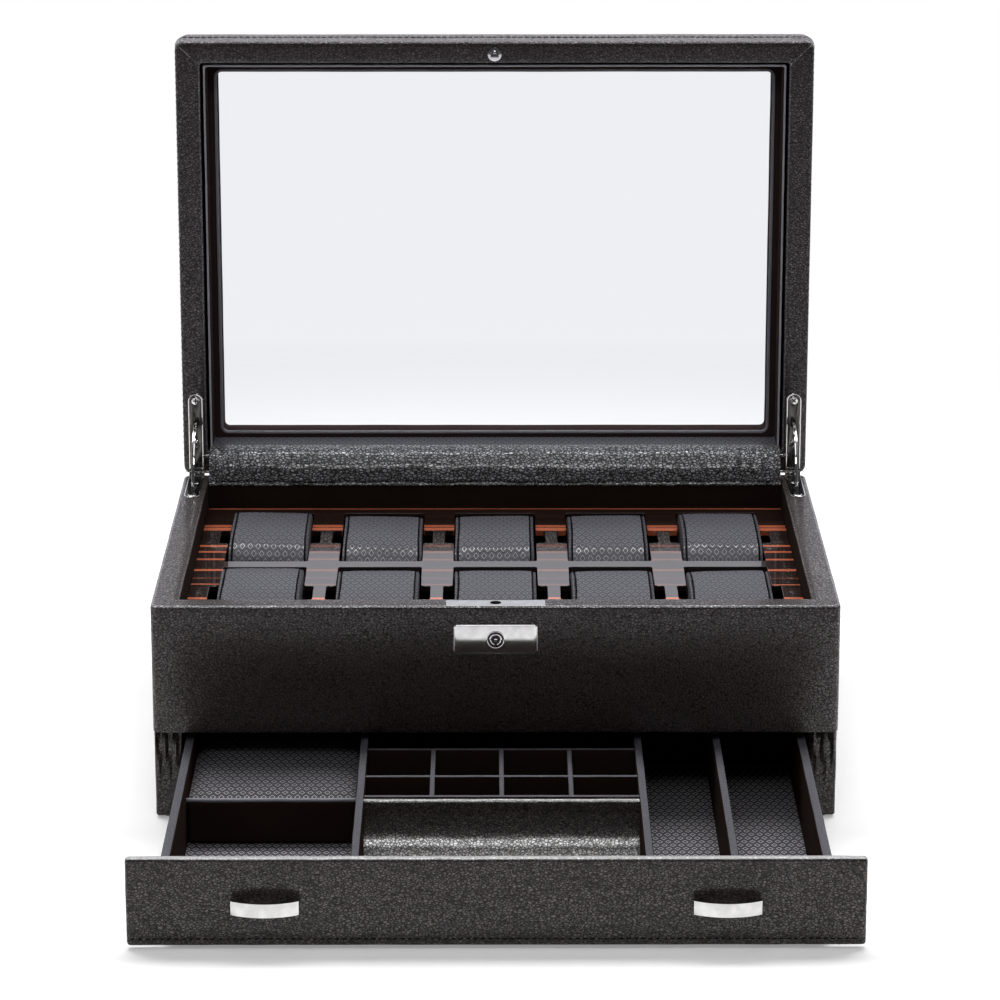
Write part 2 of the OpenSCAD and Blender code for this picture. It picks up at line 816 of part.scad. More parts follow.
module right_divider() {
    long_divider(right_divider_x);
}

// The padded bed that fills the rear of the left compartment part of the way up
module raised_pad() {
    color(fabric) open_drawer()
        block([-drawer_in_x, drawer_y + left_front_l, lining_top],
              [left_divider_x, drawer_back_y, lining_top + pad_h]);
}

// Three boards across the middle, with short boards between them
module grid_dividers() {
    color(fabric) open_drawer() {
        for (y = grid_ys) block([mid_x0, y, lining_top], [mid_x0 + mid_w, y + grid_t, drawer_top]);
        for (row = [0, 1], i = [1:grid_cells - 1]) {
            x = mid_x0 + i * grid_cell_w + (i - 1) * grid_t;
            block([x, grid_ys[row] + grid_t + fit, lining_top],
                  [x + grid_t, grid_ys[row + 1] - fit, drawer_top]);
        }
    }
}

// The hollow in front of the small compartments, upright at the rear and curved to the floor
module coin_scoop() {
    rim_y = drawer_y + scoop_l;
    low = lining_top + scoop_floor_t;
    color(leather) open_drawer() difference() {
        block([mid_x0, drawer_y, lining_top], [mid_x0 + mid_w, rim_y + scoop_rim, drawer_top]);
        translate([0, rim_y - scoop_r, drawer_top]) rod_x(scoop_r, mid_x0 - cut, mid_x0 + mid_w + cut);
        block([mid_x0 - cut, drawer_y - cut, low], [mid_x0 + mid_w + cut, rim_y - scoop_r, drawer_top + cut]);
    }
}

// The places of the screws that hold the pulls, pointing out through the drawer front
module at_pull_screws() {
    for (side = [-1, 1], post = [-1, 1])
        translate([side * pull_x + post * post_x, drawer_y, drawer_lift + pull_z])
            rotate([-90, 0, 0]) children();
}

// A bowed bar that stands off the drawer front on two posts
module pull(side) {
    face_y = front_y - pull_stand - pull_t - pull_bow;
    bar_y = face_y + pull_r;
    low = drawer_lift + pull_z - pull_h / 2;
    color(nickel) open_drawer() difference() {
        translate([side * pull_x, 0, 0]) {
            intersection() {
                translate([0, bar_y, low]) difference() {
                    cylinder(r = pull_r, h = pull_h);
                    translate([0, 0, -cut]) cylinder(r = pull_r - pull_t, h = pull_h + 2 * cut);
                }
                block([-pull_w / 2, face_y - cut, low], [pull_w / 2, front_y, low + pull_h]);
            }
            for (post = [-1, 1]) translate([post * post_x, 0, drawer_lift + pull_z])
                rod_y(post_r, front_y - pull_stand - pull_t, front_y);
        }
        at_pull_screws() screw_body(screw_fit);
    }
}

module left_pull() {
    pull(-1);
}

module right_pull() {
    pull(1);
}

module pull_screws() {
    color(nickel) open_drawer() at_pull_screws() screw();
}

// The round part of the lock that the key turns, with its post, keyway and cam
module lock_barrel() {
    hole_r = barrel_r - barrel_wall;
    face_y = front_y - keyplate_t - barrel_proud;
    color(nickel) translate([0, 0, lock_z]) {
        difference() {
            rod_y(barrel_r, face_y, barrel_end_y);
            difference() {
                rod_y(hole_r, face_y - cut, face_y + key_depth);
                rod_y(key_post_r, face_y - cut, face_y + key_depth + cut);
            }
            block([-keyway_w / 2, face_y - cut, -barrel_r - cut],
                  [keyway_w / 2, face_y + key_depth, -(hole_r + key_post_r) / 2]);
        }
        block([-cam_w / 2, barrel_end_y, 0], [cam_w / 2, barrel_end_y + cam_t, cam_l]);
    }
}

// The forked bolt that slides over the stud's neck
module lock_bolt() {
    fork = neck_r + bolt_play;
    color(nickel) difference() {
        block([bolt_x, lock_y - bolt_w / 2, bolt_z - bolt_t / 2],
              [bolt_x + bolt_l, lock_y + bolt_w / 2, bolt_z + bolt_t / 2]);
        block([bolt_x - cut, lock_y - fork, bolt_z - bolt_t],
              [bolt_x + bolt_throw + cut, lock_y + fork, bolt_z + bolt_t]);
    }
}

// A watch cuff: an oval roll whose side edges draw in
module watch_cuff(row, column) {
    around = cuff_sides;
    half_w = opening_w / 2 - cuff_gap;
    // Depth in from the side face, and how far the section draws in there, as shares of the edge rounding
    edge = [for (a = [0, 45, 90]) [1 - cos(a), 1 - sin(a)] * cuff_edge_r];
    stations = concat([for (e = edge) [-half_w + e.x, e.y]],
                      [for (i = [2, 1, 0]) [half_w - edge[i].x, edge[i].y]]);
    power = 2 / cuff_power;
    section = function(a, inset) [
        sign(cos(a)) * pow(abs(cos(a)), power) * (cuff_l / 2 - inset),
        sign(sin(a)) * pow(abs(sin(a)), power) * (cuff_h / 2 - inset)];
    points = [for (s = stations) for (i = [0:around - 1])
        let (p = section(i * 360 / around, s.y)) [s.x, p.x, p.y]];
    last = (len(stations) - 1) * around;
    skin = [for (k = [0:len(stations) - 2]) for (i = [0:around - 1])
        let (a = k * around + i, b = k * around + (i + 1) % around)
        each [[a, a + around, b], [b, a + around, b + around]]];
    caps = [for (i = [1:around - 2]) each [[0, i, i + 1], [last, last + i + 1, last + i]]];
    color(fabric) translate([column_x(column), row_y(row), tray_z + cuff_rise - cuff_h / 2])
        polyhedron(points, concat(skin, caps));
}

front_panel();
left_side();
right_side();
back_panel();
middle_shelf();
base_panel();
base_felt();
watch_tray();
well_floor();
well_boards();
back_lining();
case_flap();
left_lower_leaf();
right_lower_leaf();
hinge_pins();
lower_hinge_screws();
lock_keyplate();
lock_case();
lock_rimplate();
drawer_runners();
lid_front_rail();
lid_rear_rail();
lid_left_rail();
lid_right_rail();
lid_glass();
lid_lining();
lid_flap();
left_upper_leaf();
right_upper_leaf();
upper_hinge_screws();
lock_stud();
left_stay();
right_stay();
drawer_front();
drawer_left_side();
drawer_right_side();
drawer_back();
drawer_bottom();
drawer_lining();
left_divider();
middle_divider();
right_divider();
raised_pad();
grid_dividers();
coin_scoop();
left_pull();
right_pull();
pull_screws();
lock_barrel();
lock_bolt();
for (row = [0:rows - 1], column = [0:columns - 1])
    watch_cuff(row, column);
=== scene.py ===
import json
import math

import bmesh
import bpy
from mathutils import Matrix, Vector, noise


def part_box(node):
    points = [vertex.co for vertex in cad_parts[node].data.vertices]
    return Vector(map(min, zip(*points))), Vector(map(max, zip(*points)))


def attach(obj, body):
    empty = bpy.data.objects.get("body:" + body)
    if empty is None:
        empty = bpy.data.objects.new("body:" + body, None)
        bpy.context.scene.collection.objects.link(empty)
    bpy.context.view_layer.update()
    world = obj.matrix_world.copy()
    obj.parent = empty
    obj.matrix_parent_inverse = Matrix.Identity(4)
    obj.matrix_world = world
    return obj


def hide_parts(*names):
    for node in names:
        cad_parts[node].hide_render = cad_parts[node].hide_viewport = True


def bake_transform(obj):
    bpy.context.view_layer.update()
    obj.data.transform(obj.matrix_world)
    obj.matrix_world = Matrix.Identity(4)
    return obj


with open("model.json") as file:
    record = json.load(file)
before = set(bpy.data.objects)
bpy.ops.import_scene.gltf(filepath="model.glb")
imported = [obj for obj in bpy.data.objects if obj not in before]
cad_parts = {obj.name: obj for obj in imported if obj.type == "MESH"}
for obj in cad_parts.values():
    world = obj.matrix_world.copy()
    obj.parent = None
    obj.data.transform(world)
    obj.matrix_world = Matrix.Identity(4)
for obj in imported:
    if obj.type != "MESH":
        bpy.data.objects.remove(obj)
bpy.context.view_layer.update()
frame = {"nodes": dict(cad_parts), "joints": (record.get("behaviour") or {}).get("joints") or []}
# The noise starts from the clock unless it is given a seed, and every run has to give the same result.
noise.seed_set(5)

# Lengths below are millimetres in the part's own frame; meshes are made in metres.
MM = 0.001


def corners(node, low=(0.0, 0.0, 0.0), high=(0.0, 0.0, 0.0)):
    """A node's lowest and highest corner in millimetres, each moved a little."""
    return [tuple(round(place / MM, 2) + move for place, move in zip(corner, moved))
            for corner, moved in zip(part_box(node), (low, high))]


def middle_of(node, axis):
    low, high = corners(node)
    return (low[axis] + high[axis]) / 2.0


# The case and its tray
PANEL_LOW, PANEL_HIGH = corners("front_panel")
CASE_X = PANEL_HIGH[0]
CASE_Y = -PANEL_LOW[1]
SHELF = PANEL_LOW[2]
PANEL_BACK = PANEL_HIGH[1]
INNER_X = corners("right_side")[0][0]
TRAY_TOP = corners("watch_tray")[1][2]
CORNER = 4.0
LINING_Y = 107.9
LINING_R = 1.0
BASE_Z = 1.2
SKIRT_FRONT = -107.0
# The opening in the rim that the lock stud drops through
STUD_SLOT_X = 8.0
STUD_SLOT_Y = (-118.9, -111.5)

# The hinge, the lid as it lies when shut, and the rims, which keep clear of each other then
lid_hinge = next(joint for joint in frame["joints"] if joint["name"] == "lid_hinge")
HINGE_Y, HINGE_Z = (round(place / MM, 2) for place in lid_hinge["pos_m"][1:])
RAIL_LOW, RAIL_HIGH = corners("lid_left_rail")
RIM_EASE = 0.3
RIM = PANEL_HIGH[2] - RIM_EASE
LID_RIM = HINGE_Z + RAIL_LOW[1] - HINGE_Y + RIM_EASE
LID_TOP = HINGE_Z + RAIL_HIGH[1] - HINGE_Y
LID_SEAM = 135.4
LEAF_X = middle_of("right_upper_leaf", 0)
LOWER_LEAF_Z = corners("lower_hinge_screws")[1][2]
UPPER_LEAF_Y = corners("upper_hinge_screws")[0][1]
SCREW_REACH = (17.0, 41.8)
BARREL_HOLE = 4.6

# The cuffs and the drawer
WATCH_X = [middle_of(f"front_cuff_{number}", 0) for number in range(1, 6)]
ROW_Y = {row: middle_of(f"{row}_cuff_1", 1) for row in ("front", "rear")}
DRAWER_OUT = corners("drawer_front")[0][1] + CASE_Y


def show(name, data):
    """A new object in the scene."""
    made = bpy.data.objects.new(name, data)
    bpy.context.scene.collection.objects.link(made)
    return made


# Camera

EYE = Vector((-0.00345, -2.0185, 0.7237))
PITCH, YAW = math.radians(16.25), math.radians(0.17)


def looking(place, ahead):
    """The place and turn of a camera or lamp that looks along a direction."""
    return Matrix.Translation(place) @ ahead.to_track_quat("-Z", "Y").to_matrix().to_4x4()


def camera():
    data = bpy.data.cameras.new("photo_camera")
    data.sensor_width = 36.0
    data.lens = 143.9
    data.clip_start, data.clip_end = 0.05, 60.0
    level_reach = math.cos(PITCH)
    ahead = Vector((math.sin(YAW) * level_reach, math.cos(YAW) * level_reach, -math.sin(PITCH)))
    holder = show("photo_camera", data)
    holder.matrix_world = looking(EYE, ahead)
    bpy.context.scene.camera = holder


# Shader wiring

class Wire:
    """One output of a material's nodes; arithmetic on wires makes maths nodes."""

    def __init__(self, tree, socket=None):
        self.tree = tree
        self.socket = socket

    def node(self, kind, settings=None, inputs=None, out=0):
        """A new node's output: its settings come first, then its sockets get values or links."""
        made = self.tree.nodes.new("ShaderNode" + kind)
        for name, value in (settings or {}).items():
            setattr(made, name, value)
        for name, value in (inputs or {}).items():
            if isinstance(value, Wire):
                self.tree.links.new(value.socket, made.inputs[name])
            else:
                made.inputs[name].default_value = value
        return Wire(self.tree, made.outputs[out])

    def beside(self, out):
        """Another output of the same node."""
        return Wire(self.tree, self.socket.node.outputs[out])

    def maths(self, rule, first, second=0.0):
        return self.node("Math", {"operation": rule}, {0: first, 1: second})

    def __add__(self, other):
        return self.maths("ADD", self, other)

    __radd__ = __add__

    def __sub__(self, other):
        return self.maths("SUBTRACT", self, other)

    def __rsub__(self, other):
        return self.maths("SUBTRACT", other, self)

    def __mul__(self, other):
        return self.maths("MULTIPLY", self, other)

    __rmul__ = __mul__

    def __truediv__(self, other):
        return self.maths("DIVIDE", self, other)

    def __rtruediv__(self, other):
        return self.maths("DIVIDE", other, self)

    def __abs__(self):
        return self.maths("ABSOLUTE", self)

    def or_more(self, other):
        """The larger of two wires."""
        return self.maths("MAXIMUM", self, other)

    def between(self, low, high):
        """0 below low, 1 above high, eased in between."""
        return self.node("MapRange", {"interpolation_type": "SMOOTHSTEP"}, {0: self, 1: low, 2: high})

    def mix(self, first, second):
        """The first colour where this wire is 0, the second where it is 1."""
        pair = [(*c, 1.0) if isinstance(c, tuple) else c for c in (first, second)]
        return self.node("Mix", {"data_type": "RGBA"}, {0: self, 6: pair[0], 7: pair[1]}, 2)


def new_finish(name):
    """A new material and the wire that its nodes are made from."""
    made = bpy.data.materials.new(name)
    made.use_nodes = True
    made.node_tree.nodes.clear()
    return made, Wire(made.node_tree)


def seal(w, shader, kind="OutputMaterial"):
    out = w.tree.nodes.new("ShaderNode" + kind)
    w.tree.links.new(shader.socket, out.inputs["Surface"])


def coat(w, colour, rough, bump, **sockets):
    inputs = {"Base Color": colour, "Roughness": rough, "Normal": bump}
    inputs.update({name.replace("_", " "): value for name, value in sockets.items()})
    seal(w, w.node("BsdfPrincipled", None, inputs))


def speckle(w, place, scale, detail=2.0, rough=0.5, out="Fac"):
    inputs = {"Vector": place, "Scale": scale, "Detail": detail, "Roughness": rough}
    return w.node("TexNoise", None, inputs, out)


def stretched(w, place, scale):
    return w.node("Mapping", None, {"Vector": place, "Scale": scale})


def relief(w, height, distance, strength):
    return w.node("Bump", None, {"Strength": strength, "Distance": distance, "Height": height})


def pebbled_leather(name, dark, pale, rough=0.3, grain=0.0014, depth=0.0008, gloss=1.7):
    """Leather: glazed pebbles between dull creases."""
    made, w = new_finish(name)
    place = stretched(w, w.node("TexCoord", out="Object"), (0.8, 0.9, 1.25))
    drift = speckle(w, place, 210.0, out="Color")
    bent = w.node("Mix", {"data_type": "VECTOR"}, {0: 0.0018, 4: place, 5: drift}, 1)
    pebbles = {"Vector": bent, "Scale": 1.0 / grain}
    cell = w.node("TexVoronoi", {"feature": "SMOOTH_F1"}, {**pebbles, "Smoothness": 0.3}, "Distance")
    crease = w.node("TexVoronoi", {"feature": "DISTANCE_TO_EDGE"}, pebbles, "Distance")
    fine = speckle(w, place, 480.0, 3.0, 0.7)
    broad = speckle(w, place, 24.0, 3.0)
    tops = crease.between(0.03, 0.26)
    bump = relief(w, tops * 0.7 + (1.0 - cell) * 0.4 + fine * 0.3, depth, 1.0)
    glaze = tops * (0.45 + fine.between(0.4, 0.6) * 0.55 + (broad - 0.5) * 0.4)
    coat(w, glaze.mix(dark, pale), rough + (1.0 - tops) * 0.3, bump, Specular_IOR_Level=0.3,
         Coat_Weight=0.12 + glaze * 0.86, Coat_Roughness=0.18, Coat_IOR=gloss)
    return made


def lattice_cloth(name, dark, mid, pale, across_pitch=4.15, along_pitch=9.6, depth=0.0004, satin=0.3):
    """Slate cloth woven in long diamonds, each with a ring of satin thread round a dark heart."""
    made, w = new_finish(name)
    lay = w.node("Attribute", {"attribute_name": "cloth_at"}, None, "Vector")
    across = w.node("SeparateXYZ", None, {0: lay}, 0)
    along = across.beside(1)
    wobble = speckle(w, lay, 0.3) * 0.1
    one = w.maths("FRACT", across / across_pitch + along / along_pitch + wobble) - 0.5
    two = w.maths("FRACT", across / across_pitch - along / along_pitch - wobble) - 0.5
    line = 1.0 - (0.5 - abs(one).or_more(abs(two))).between(0.03, 0.08)
    out = abs(one + two) / 0.7 + abs(one - two) / 0.48
    ring = out.between(0.64, 0.78) * (1.0 - out.between(0.98, 1.14))
    knot = (1.0 - out.between(0.1, 0.3)) * 0.45
    thread = ring.or_more(knot).or_more(line * 0.16)
    heart = 1.0 - out.between(0.45, 0.65)
    yarn = speckle(w, lay, 1.3, 3.0, 0.8).between(0.3, 0.7)
    weft = w.maths("PINGPONG", along * 1.7, 0.5)
    warp = w.maths("PINGPONG", across * 1.7, 0.5)
    shade = speckle(w, lay, 0.05)
    ground = (yarn * 0.7 + (1.0 - heart) * 0.3).mix(dark, mid)
    colour = (thread * (0.55 + yarn * 0.35 + shade * 0.2)).mix(ground, pale)
    bump = relief(w, thread * 0.8 - heart * 0.3 + (weft + warp) * 0.22 + yarn * 0.25, depth, 0.8)
    coat(w, colour, 0.78 - thread * 0.3, bump, Sheen_Weight=0.04, Sheen_Roughness=0.45,
         Specular_IOR_Level=0.3, Coat_Weight=thread * satin, Coat_Roughness=0.28, Coat_IOR=1.9)
    return made


# Middle, half width and strength of each orange streak in the tray's veneer
STREAKS = ((100.3, 0.7, 0.85), (66.5, 2.2, 0.8), (60.8, 2.4, 1.0), (30.2, 1.7, 0.9), (19.2, 1.6, 0.85),
           (5.0, 1.4, 0.8), (-13.8, 1.5, 0.9), (-28.0, 0.5, 0.4), (-39.0, 0.9, 0.75), (-62.0, 1.6, 0.95),
           (-78.0, 0.8, 0.6), (-97.0, 1.8, 0.8))


def striped_ebony(name):
    """Glossy dark veneer whose orange streaks run along the box and are fainter on the bridges."""
    made, w = new_finish(name)
    place = w.node("TexCoord", out="Object")
    x = w.node("SeparateXYZ", None, {0: place}, 0)
    y = x.beside(1)
    long_grain = stretched(w, place, (3.0, 26.0, 26.0))
    sway = speckle(w, long_grain, 1.5, 3.0)
    across = y * 1000.0 + (sway - 0.5) * 4.5 + x * 4.0
    glow = speckle(w, long_grain, 4.0)
    bridge = (1.0 - abs(x).between(0.118, 0.128)) * (1.0 - abs(y + 0.003).between(0.04, 0.046))
    orange = 0.0
    for middle, half, strength in STREAKS:
        off = abs(across - middle)
        orange = (1.0 - off.between(half * 0.75, half * 1.2 + 0.25)) * strength + orange
    fibre = speckle(w, stretched(w, place, (60.0, 2200.0, 2200.0)), 1.0, 4.0, 0.7)
    faint = speckle(w, stretched(w, place, (5.0, 420.0, 420.0)), 1.0, 3.0).between(0.5, 0.72)
    dark = (faint * 0.6 + glow * 0.3).mix((0.010, 0.005, 0.0042), (0.031, 0.0145, 0.0105))
    streak = (fibre.between(0.3, 0.75) * 0.6 + glow * 0.3).mix((0.62, 0.165, 0.078), (0.32, 0.072, 0.032))
    colour = (orange * (1.0 - bridge * 0.65)).mix(dark, streak)
    coat(w, colour, 0.2 + fibre * 0.06, relief(w, fibre, 0.0002, 0.05), Specular_IOR_Level=0.15,
         Coat_Weight=1.0, Coat_Roughness=0.03, Coat_IOR=1.4)
    return made


def polished_nickel(name, tint=(0.66, 0.655, 0.65), rough=0.05):
    made, w = new_finish(name)
    place = w.node("TexCoord", out="Object")
    smear = speckle(w, place, 180.0, 3.0)
    brushed = speckle(w, stretched(w, place, (900.0, 9000.0, 9000.0)), 1.0)
    worn = tuple(c * 0.82 for c in tint)
    coat(w, smear.between(0.3, 0.75).mix(tint, worn), rough + smear * 0.06 + brushed * 0.03,
         relief(w, brushed + smear, 0.0001, 0.02), Metallic=1.0)
    return made


def napped_felt(name, dark, pale):
    made, w = new_finish(name)
    place = w.node("TexCoord", out="Object")
    nap = speckle(w, place, 1500.0, 4.0, 0.75)
    rub = speckle(w, place, 30.0, 3.0)
    coat(w, (nap * 0.6 + rub * 0.4).mix(dark, pale), 0.88 + nap * 0.1, relief(w, nap, 0.0003, 0.5),
         Specular_IOR_Level=0.03)
    return made


def waxed_thread(name):
    made, w = new_finish(name)
    place = w.node("TexCoord", out="Object")
    twist = w.node("TexWave", None, {"Vector": place, "Scale": 900.0, "Distortion": 1.0}, "Fac")
    coat(w, twist.mix((0.004, 0.004, 0.004), (0.012, 0.011, 0.012)), 0.8 + twist * 0.15,
         relief(w, twist, 0.0001, 0.6), Specular_IOR_Level=0.05)
    return made


def clear_glass(name):
    made, w = new_finish(name)
    haze = speckle(w, w.node("TexCoord", out="Object"), 9.0)
    through = w.node("BsdfTransparent", None, {"Color": (0.923, 0.93, 0.942, 1.0)})
    shine = w.node("BsdfGlossy", None, {"Color": (0.9, 0.92, 0.95, 1.0), "Roughness": 0.02})
    facing = w.node("Fresnel", None, {"IOR": 1.45})
    seal(w, w.node("MixShader", None, {0: facing * (0.22 + haze * 0.06), 1: through, 2: shine}))
    return made


# Forms

class Form:
    """Points in millimetres and the faces of one piece, before they become a mesh."""

    def __init__(self):
        self.points = []
        self.faces = []
        self.kinds = []

    def add(self, points, faces, kind=0):
        base = len(self.points)
        self.points += [tuple(p) for p in points]
        self.faces += [tuple(base + i for i in face) for face in faces]
        self.kinds += [kind] * len(faces)
        return self

    def changed(self, rule):
        self.points = [tuple(rule(p)) for p in self.points]
        return self


def grid(rows, columns, wrap_rows=False, wrap_columns=False):
    faces = []
    for i in range(rows if wrap_rows else rows - 1):
        for j in range(columns if wrap_columns else columns - 1):
            here, below = i * columns, (i + 1) % rows * columns
            beside = (j + 1) % columns
            faces.append((here + j, below + j, below + beside, here + beside))
    return faces


def tube(rows, around):
    """Faces of a row of rings that is closed at both ends."""
    ends = [tuple(reversed(range(around))), tuple((rows - 1) * around + k for k in range(around))]
    return grid(rows, around, wrap_columns=True) + ends


def ripple(*place):
    return noise.noise(Vector(place))


def swayed(p, amount, reach=28.0):
    """A point moved a little, so that board-backed leather isn't dead flat."""
    shift = noise.noise_vector(Vector(p) / reach)
    return tuple(p[i] + amount * shift[i] for i in range(3))


def lid_open(p):
    """A point of the closed lid where the open lid holds it."""
    return (p[0], HINGE_Y + (p[2] - HINGE_Z), HINGE_Z + (HINGE_Y - p[1]))


def lay_cloth(mesh, spread=None):
    """Each corner's place on the flat cloth, in millimetres, for the woven pattern."""
    layer = mesh.attributes.new("cloth_at", "FLOAT_VECTOR", "CORNER")
    for face in mesh.polygons:
        axis = max(range(3), key=lambda i: abs(face.normal[i]))
        for corner in face.loop_indices:
            index = mesh.loops[corner].vertex_index
            point = mesh.vertices[index].co / MM
            if spread:
                layer.data[corner].vector = spread[index]
            else:
                layer.data[corner].vector = (point[(axis + 1) % 3], point[(axis + 2) % 3], 0.0)


def finish_mesh(mesh, finishes, crease):
    mesh.polygons.foreach_set("use_smooth", [True] * len(mesh.polygons))
    mesh.set_sharp_from_angle(angle=math.radians(crease))
    for finish in finishes:
        mesh.materials.append(finish)


def place_piece(name, mesh, body, stands=()):
    made = show(name, mesh)
    if body:
        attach(made, body)
    if stands:
        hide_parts(*stands)
    return made


def piece(name, form, body, finishes, stands=(), crease=38.0):
    """A form as a piece that rides on a body and stands for some nodes."""
    mesh = bpy.data.meshes.new(name)
    bm = bmesh.new()
    points = [bm.verts.new((x * MM, y * MM, z * MM)) for x, y, z in form.points]
    for face, kind in zip(form.faces, form.kinds):
        made = bm.faces.new([points[i] for i in face])
        made.material_index = kind
    bmesh.ops.remove_doubles(bm, verts=bm.verts, dist=3e-6)
    bmesh.ops.recalc_face_normals(bm, faces=bm.faces)
    bm.to_mesh(mesh)
    bm.free()
    finish_mesh(mesh, finishes, crease)
    lay_cloth(mesh)
    return place_piece(name, mesh, body, stands)


def break_edges(bm, angle, width, profile, lowest=-1.0):
    """Bevels the edges that turn by more than an angle and lie above a height."""
    sharp = [e for e in bm.edges if len(e.link_faces) == 2 and e.calc_face_angle(0.0) > angle
             and min(v.co.z for v in e.verts) > lowest]
    bmesh.ops.bevel(bm, geom=sharp, offset=width * MM, offset_type="OFFSET", segments=2, profile=profile,
                    affect="EDGES", clamp_overlap=True)


def eased(node, body, finish, edge, crease=32.0):
    """A metal node again, with its sharp edges broken so that they catch the light."""
    bm = bmesh.new()
    bm.from_mesh(frame["nodes"][node].data)
    bmesh.ops.remove_doubles(bm, verts=bm.verts, dist=1e-6)
    bmesh.ops.dissolve_limit(bm, angle_limit=0.01, verts=bm.verts, edges=bm.edges)
    break_edges(bm, 0.6, edge, 0.6)
    bmesh.ops.recalc_face_normals(bm, faces=bm.faces)
    mesh = bpy.data.meshes.new(node + "_eased")
    bm.to_mesh(mesh)
    bm.free()
    finish_mesh(mesh, [finish], crease)
    place_piece(node + "_eased", mesh, body, (node,))


def fill(bm, rings, z=0.0):
    """A flat face between closed rings, whose inner rings are holes."""
    for ring in rings:
        spots = [bm.verts.new((x, y, z)) for x, y in ring]
        for i, spot in enumerate(spots):
            bm.edges.new((spots[i - 1], spot))
    bmesh.ops.triangle_fill(bm, use_beauty=True, use_dissolve=False, edges=bm.edges[:])


# Places of the points on a rounded edge, as shares of its radius
ROUNDING = (0.0, 0.3, 0.62)
# Angles of the loops over a rounded rim
QUARTER_TURN = (0.0, 0.4, 0.8, 1.2, math.pi / 2)


def ticks(low, high, r, step):
    """Places along one side of a rounded board, closer together where it turns."""
    count = max(1, round((high - low - 2 * r) / step))
    flat = [low + r + (high - low - 2 * r) * i / count for i in range(count + 1)]
    return [low + t * r for t in ROUNDING] + flat + [high - t * r for t in reversed(ROUNDING)]


def soft_box(form, low, high, r, step=6.0, kind=0, sway=0.12, top_kind=None):
    """A covered board: rounded edges and faces that aren't quite flat."""
    spans = [ticks(low[i], high[i], r, step) for i in range(3)]

    def rounded(p):
        core = Vector([min(max(p[i], low[i] + r), high[i] - r) for i in range(3)])
        out = (Vector(p) - core).normalized()
        return swayed(core + out * r, sway, 14.0)

    for axis in range(3):
        u, v = (axis + 1) % 3, (axis + 2) % 3
        for side in (low[axis], high[axis]):
            points = []
            for a in spans[u]:
                for b in spans[v]:
                    p = [0.0, 0.0, 0.0]
                    p[axis], p[u], p[v] = side, a, b
                    points.append(rounded(p))
            capped = top_kind is not None and axis == 2 and side == high[2]
            form.add(points, grid(len(spans[u]), len(spans[v])), top_kind if capped else kind)
    return form


ALONG_X, ALONG_Y, TURN = 44, 30, 6
# Points of an outline from the front of its right side, round the back, to the front of its left side
U_COUNT = 2 * (ALONG_Y + 1) + (ALONG_X + 1) + 2 * (TURN - 1)


def outline(x0, x1, y0, y1, r, along_x=ALONG_X, along_y=ALONG_Y, turn=TURN):
    """Points round a rounded rectangle from its right side on, as many for every size."""
    points = []
    sides = [((x1, y0 + r), (x1, y1 - r), along_y), ((x1 - r, y1), (x0 + r, y1), along_x),
             ((x0, y1 - r), (x0, y0 + r), along_y), ((x0 + r, y0), (x1 - r, y0), along_x)]
    centres = [(x1 - r, y1 - r), (x0 + r, y1 - r), (x0 + r, y0 + r), (x1 - r, y0 + r)]
    for k, (start, end, count) in enumerate(sides):
        for i in range(count + 1):
            t = i / count
            points.append((start[0] + (end[0] - start[0]) * t, start[1] + (end[1] - start[1]) * t))
        for i in range(1, turn):
            a = math.radians(90.0 * k + 90.0 * i / turn)
            points.append((centres[k][0] + r * math.cos(a), centres[k][1] + r * math.sin(a)))
    return points


def level(path, z):
    """A flat path at one height."""
    return [(x, y, z) for x, y in path]


def frame_loop(size, out, z, r):
    """A rounded rectangle of some half width, front and back, grown all round by a margin."""
    half, front, back = size
    return level(outline(-half - out, half + out, front - out, back + out, r), z)


def skin(form, loops, kinds=None, closed=True, ring=True):
    """A surface over a row of equal loops; closed loops go round, and a ring joins last to first."""
    faces = grid(len(loops), len(loops[0]), ring, closed)
    form.add([p for loop in loops for p in loop], faces)
    if kinds:
        per_row = len(loops[0]) if closed else len(loops[0]) - 1
        form.kinds[-len(faces):] = [kinds[i // per_row] for i in range(len(faces))]
    return form


def stitch(form, centre, along, out, size):
    """A short rounded strand lying on a surface, of some length, width and height."""
    length, width, height = size
    side = along.cross(out)
    rings, around = ((-0.5, 0.3), (-0.36, 0.8), (0.0, 1.0), (0.36, 0.8), (0.5, 0.3)), 6
    points = []
    for u, full in rings:
        for k in range(around):
            a = math.tau * k / around
            points.append(centre + along * (u * length) + side * (0.5 * width * full * math.cos(a))
                          + out * (height * full * math.sin(a)))
    form.add(points, tube(len(rings), around))


# Case

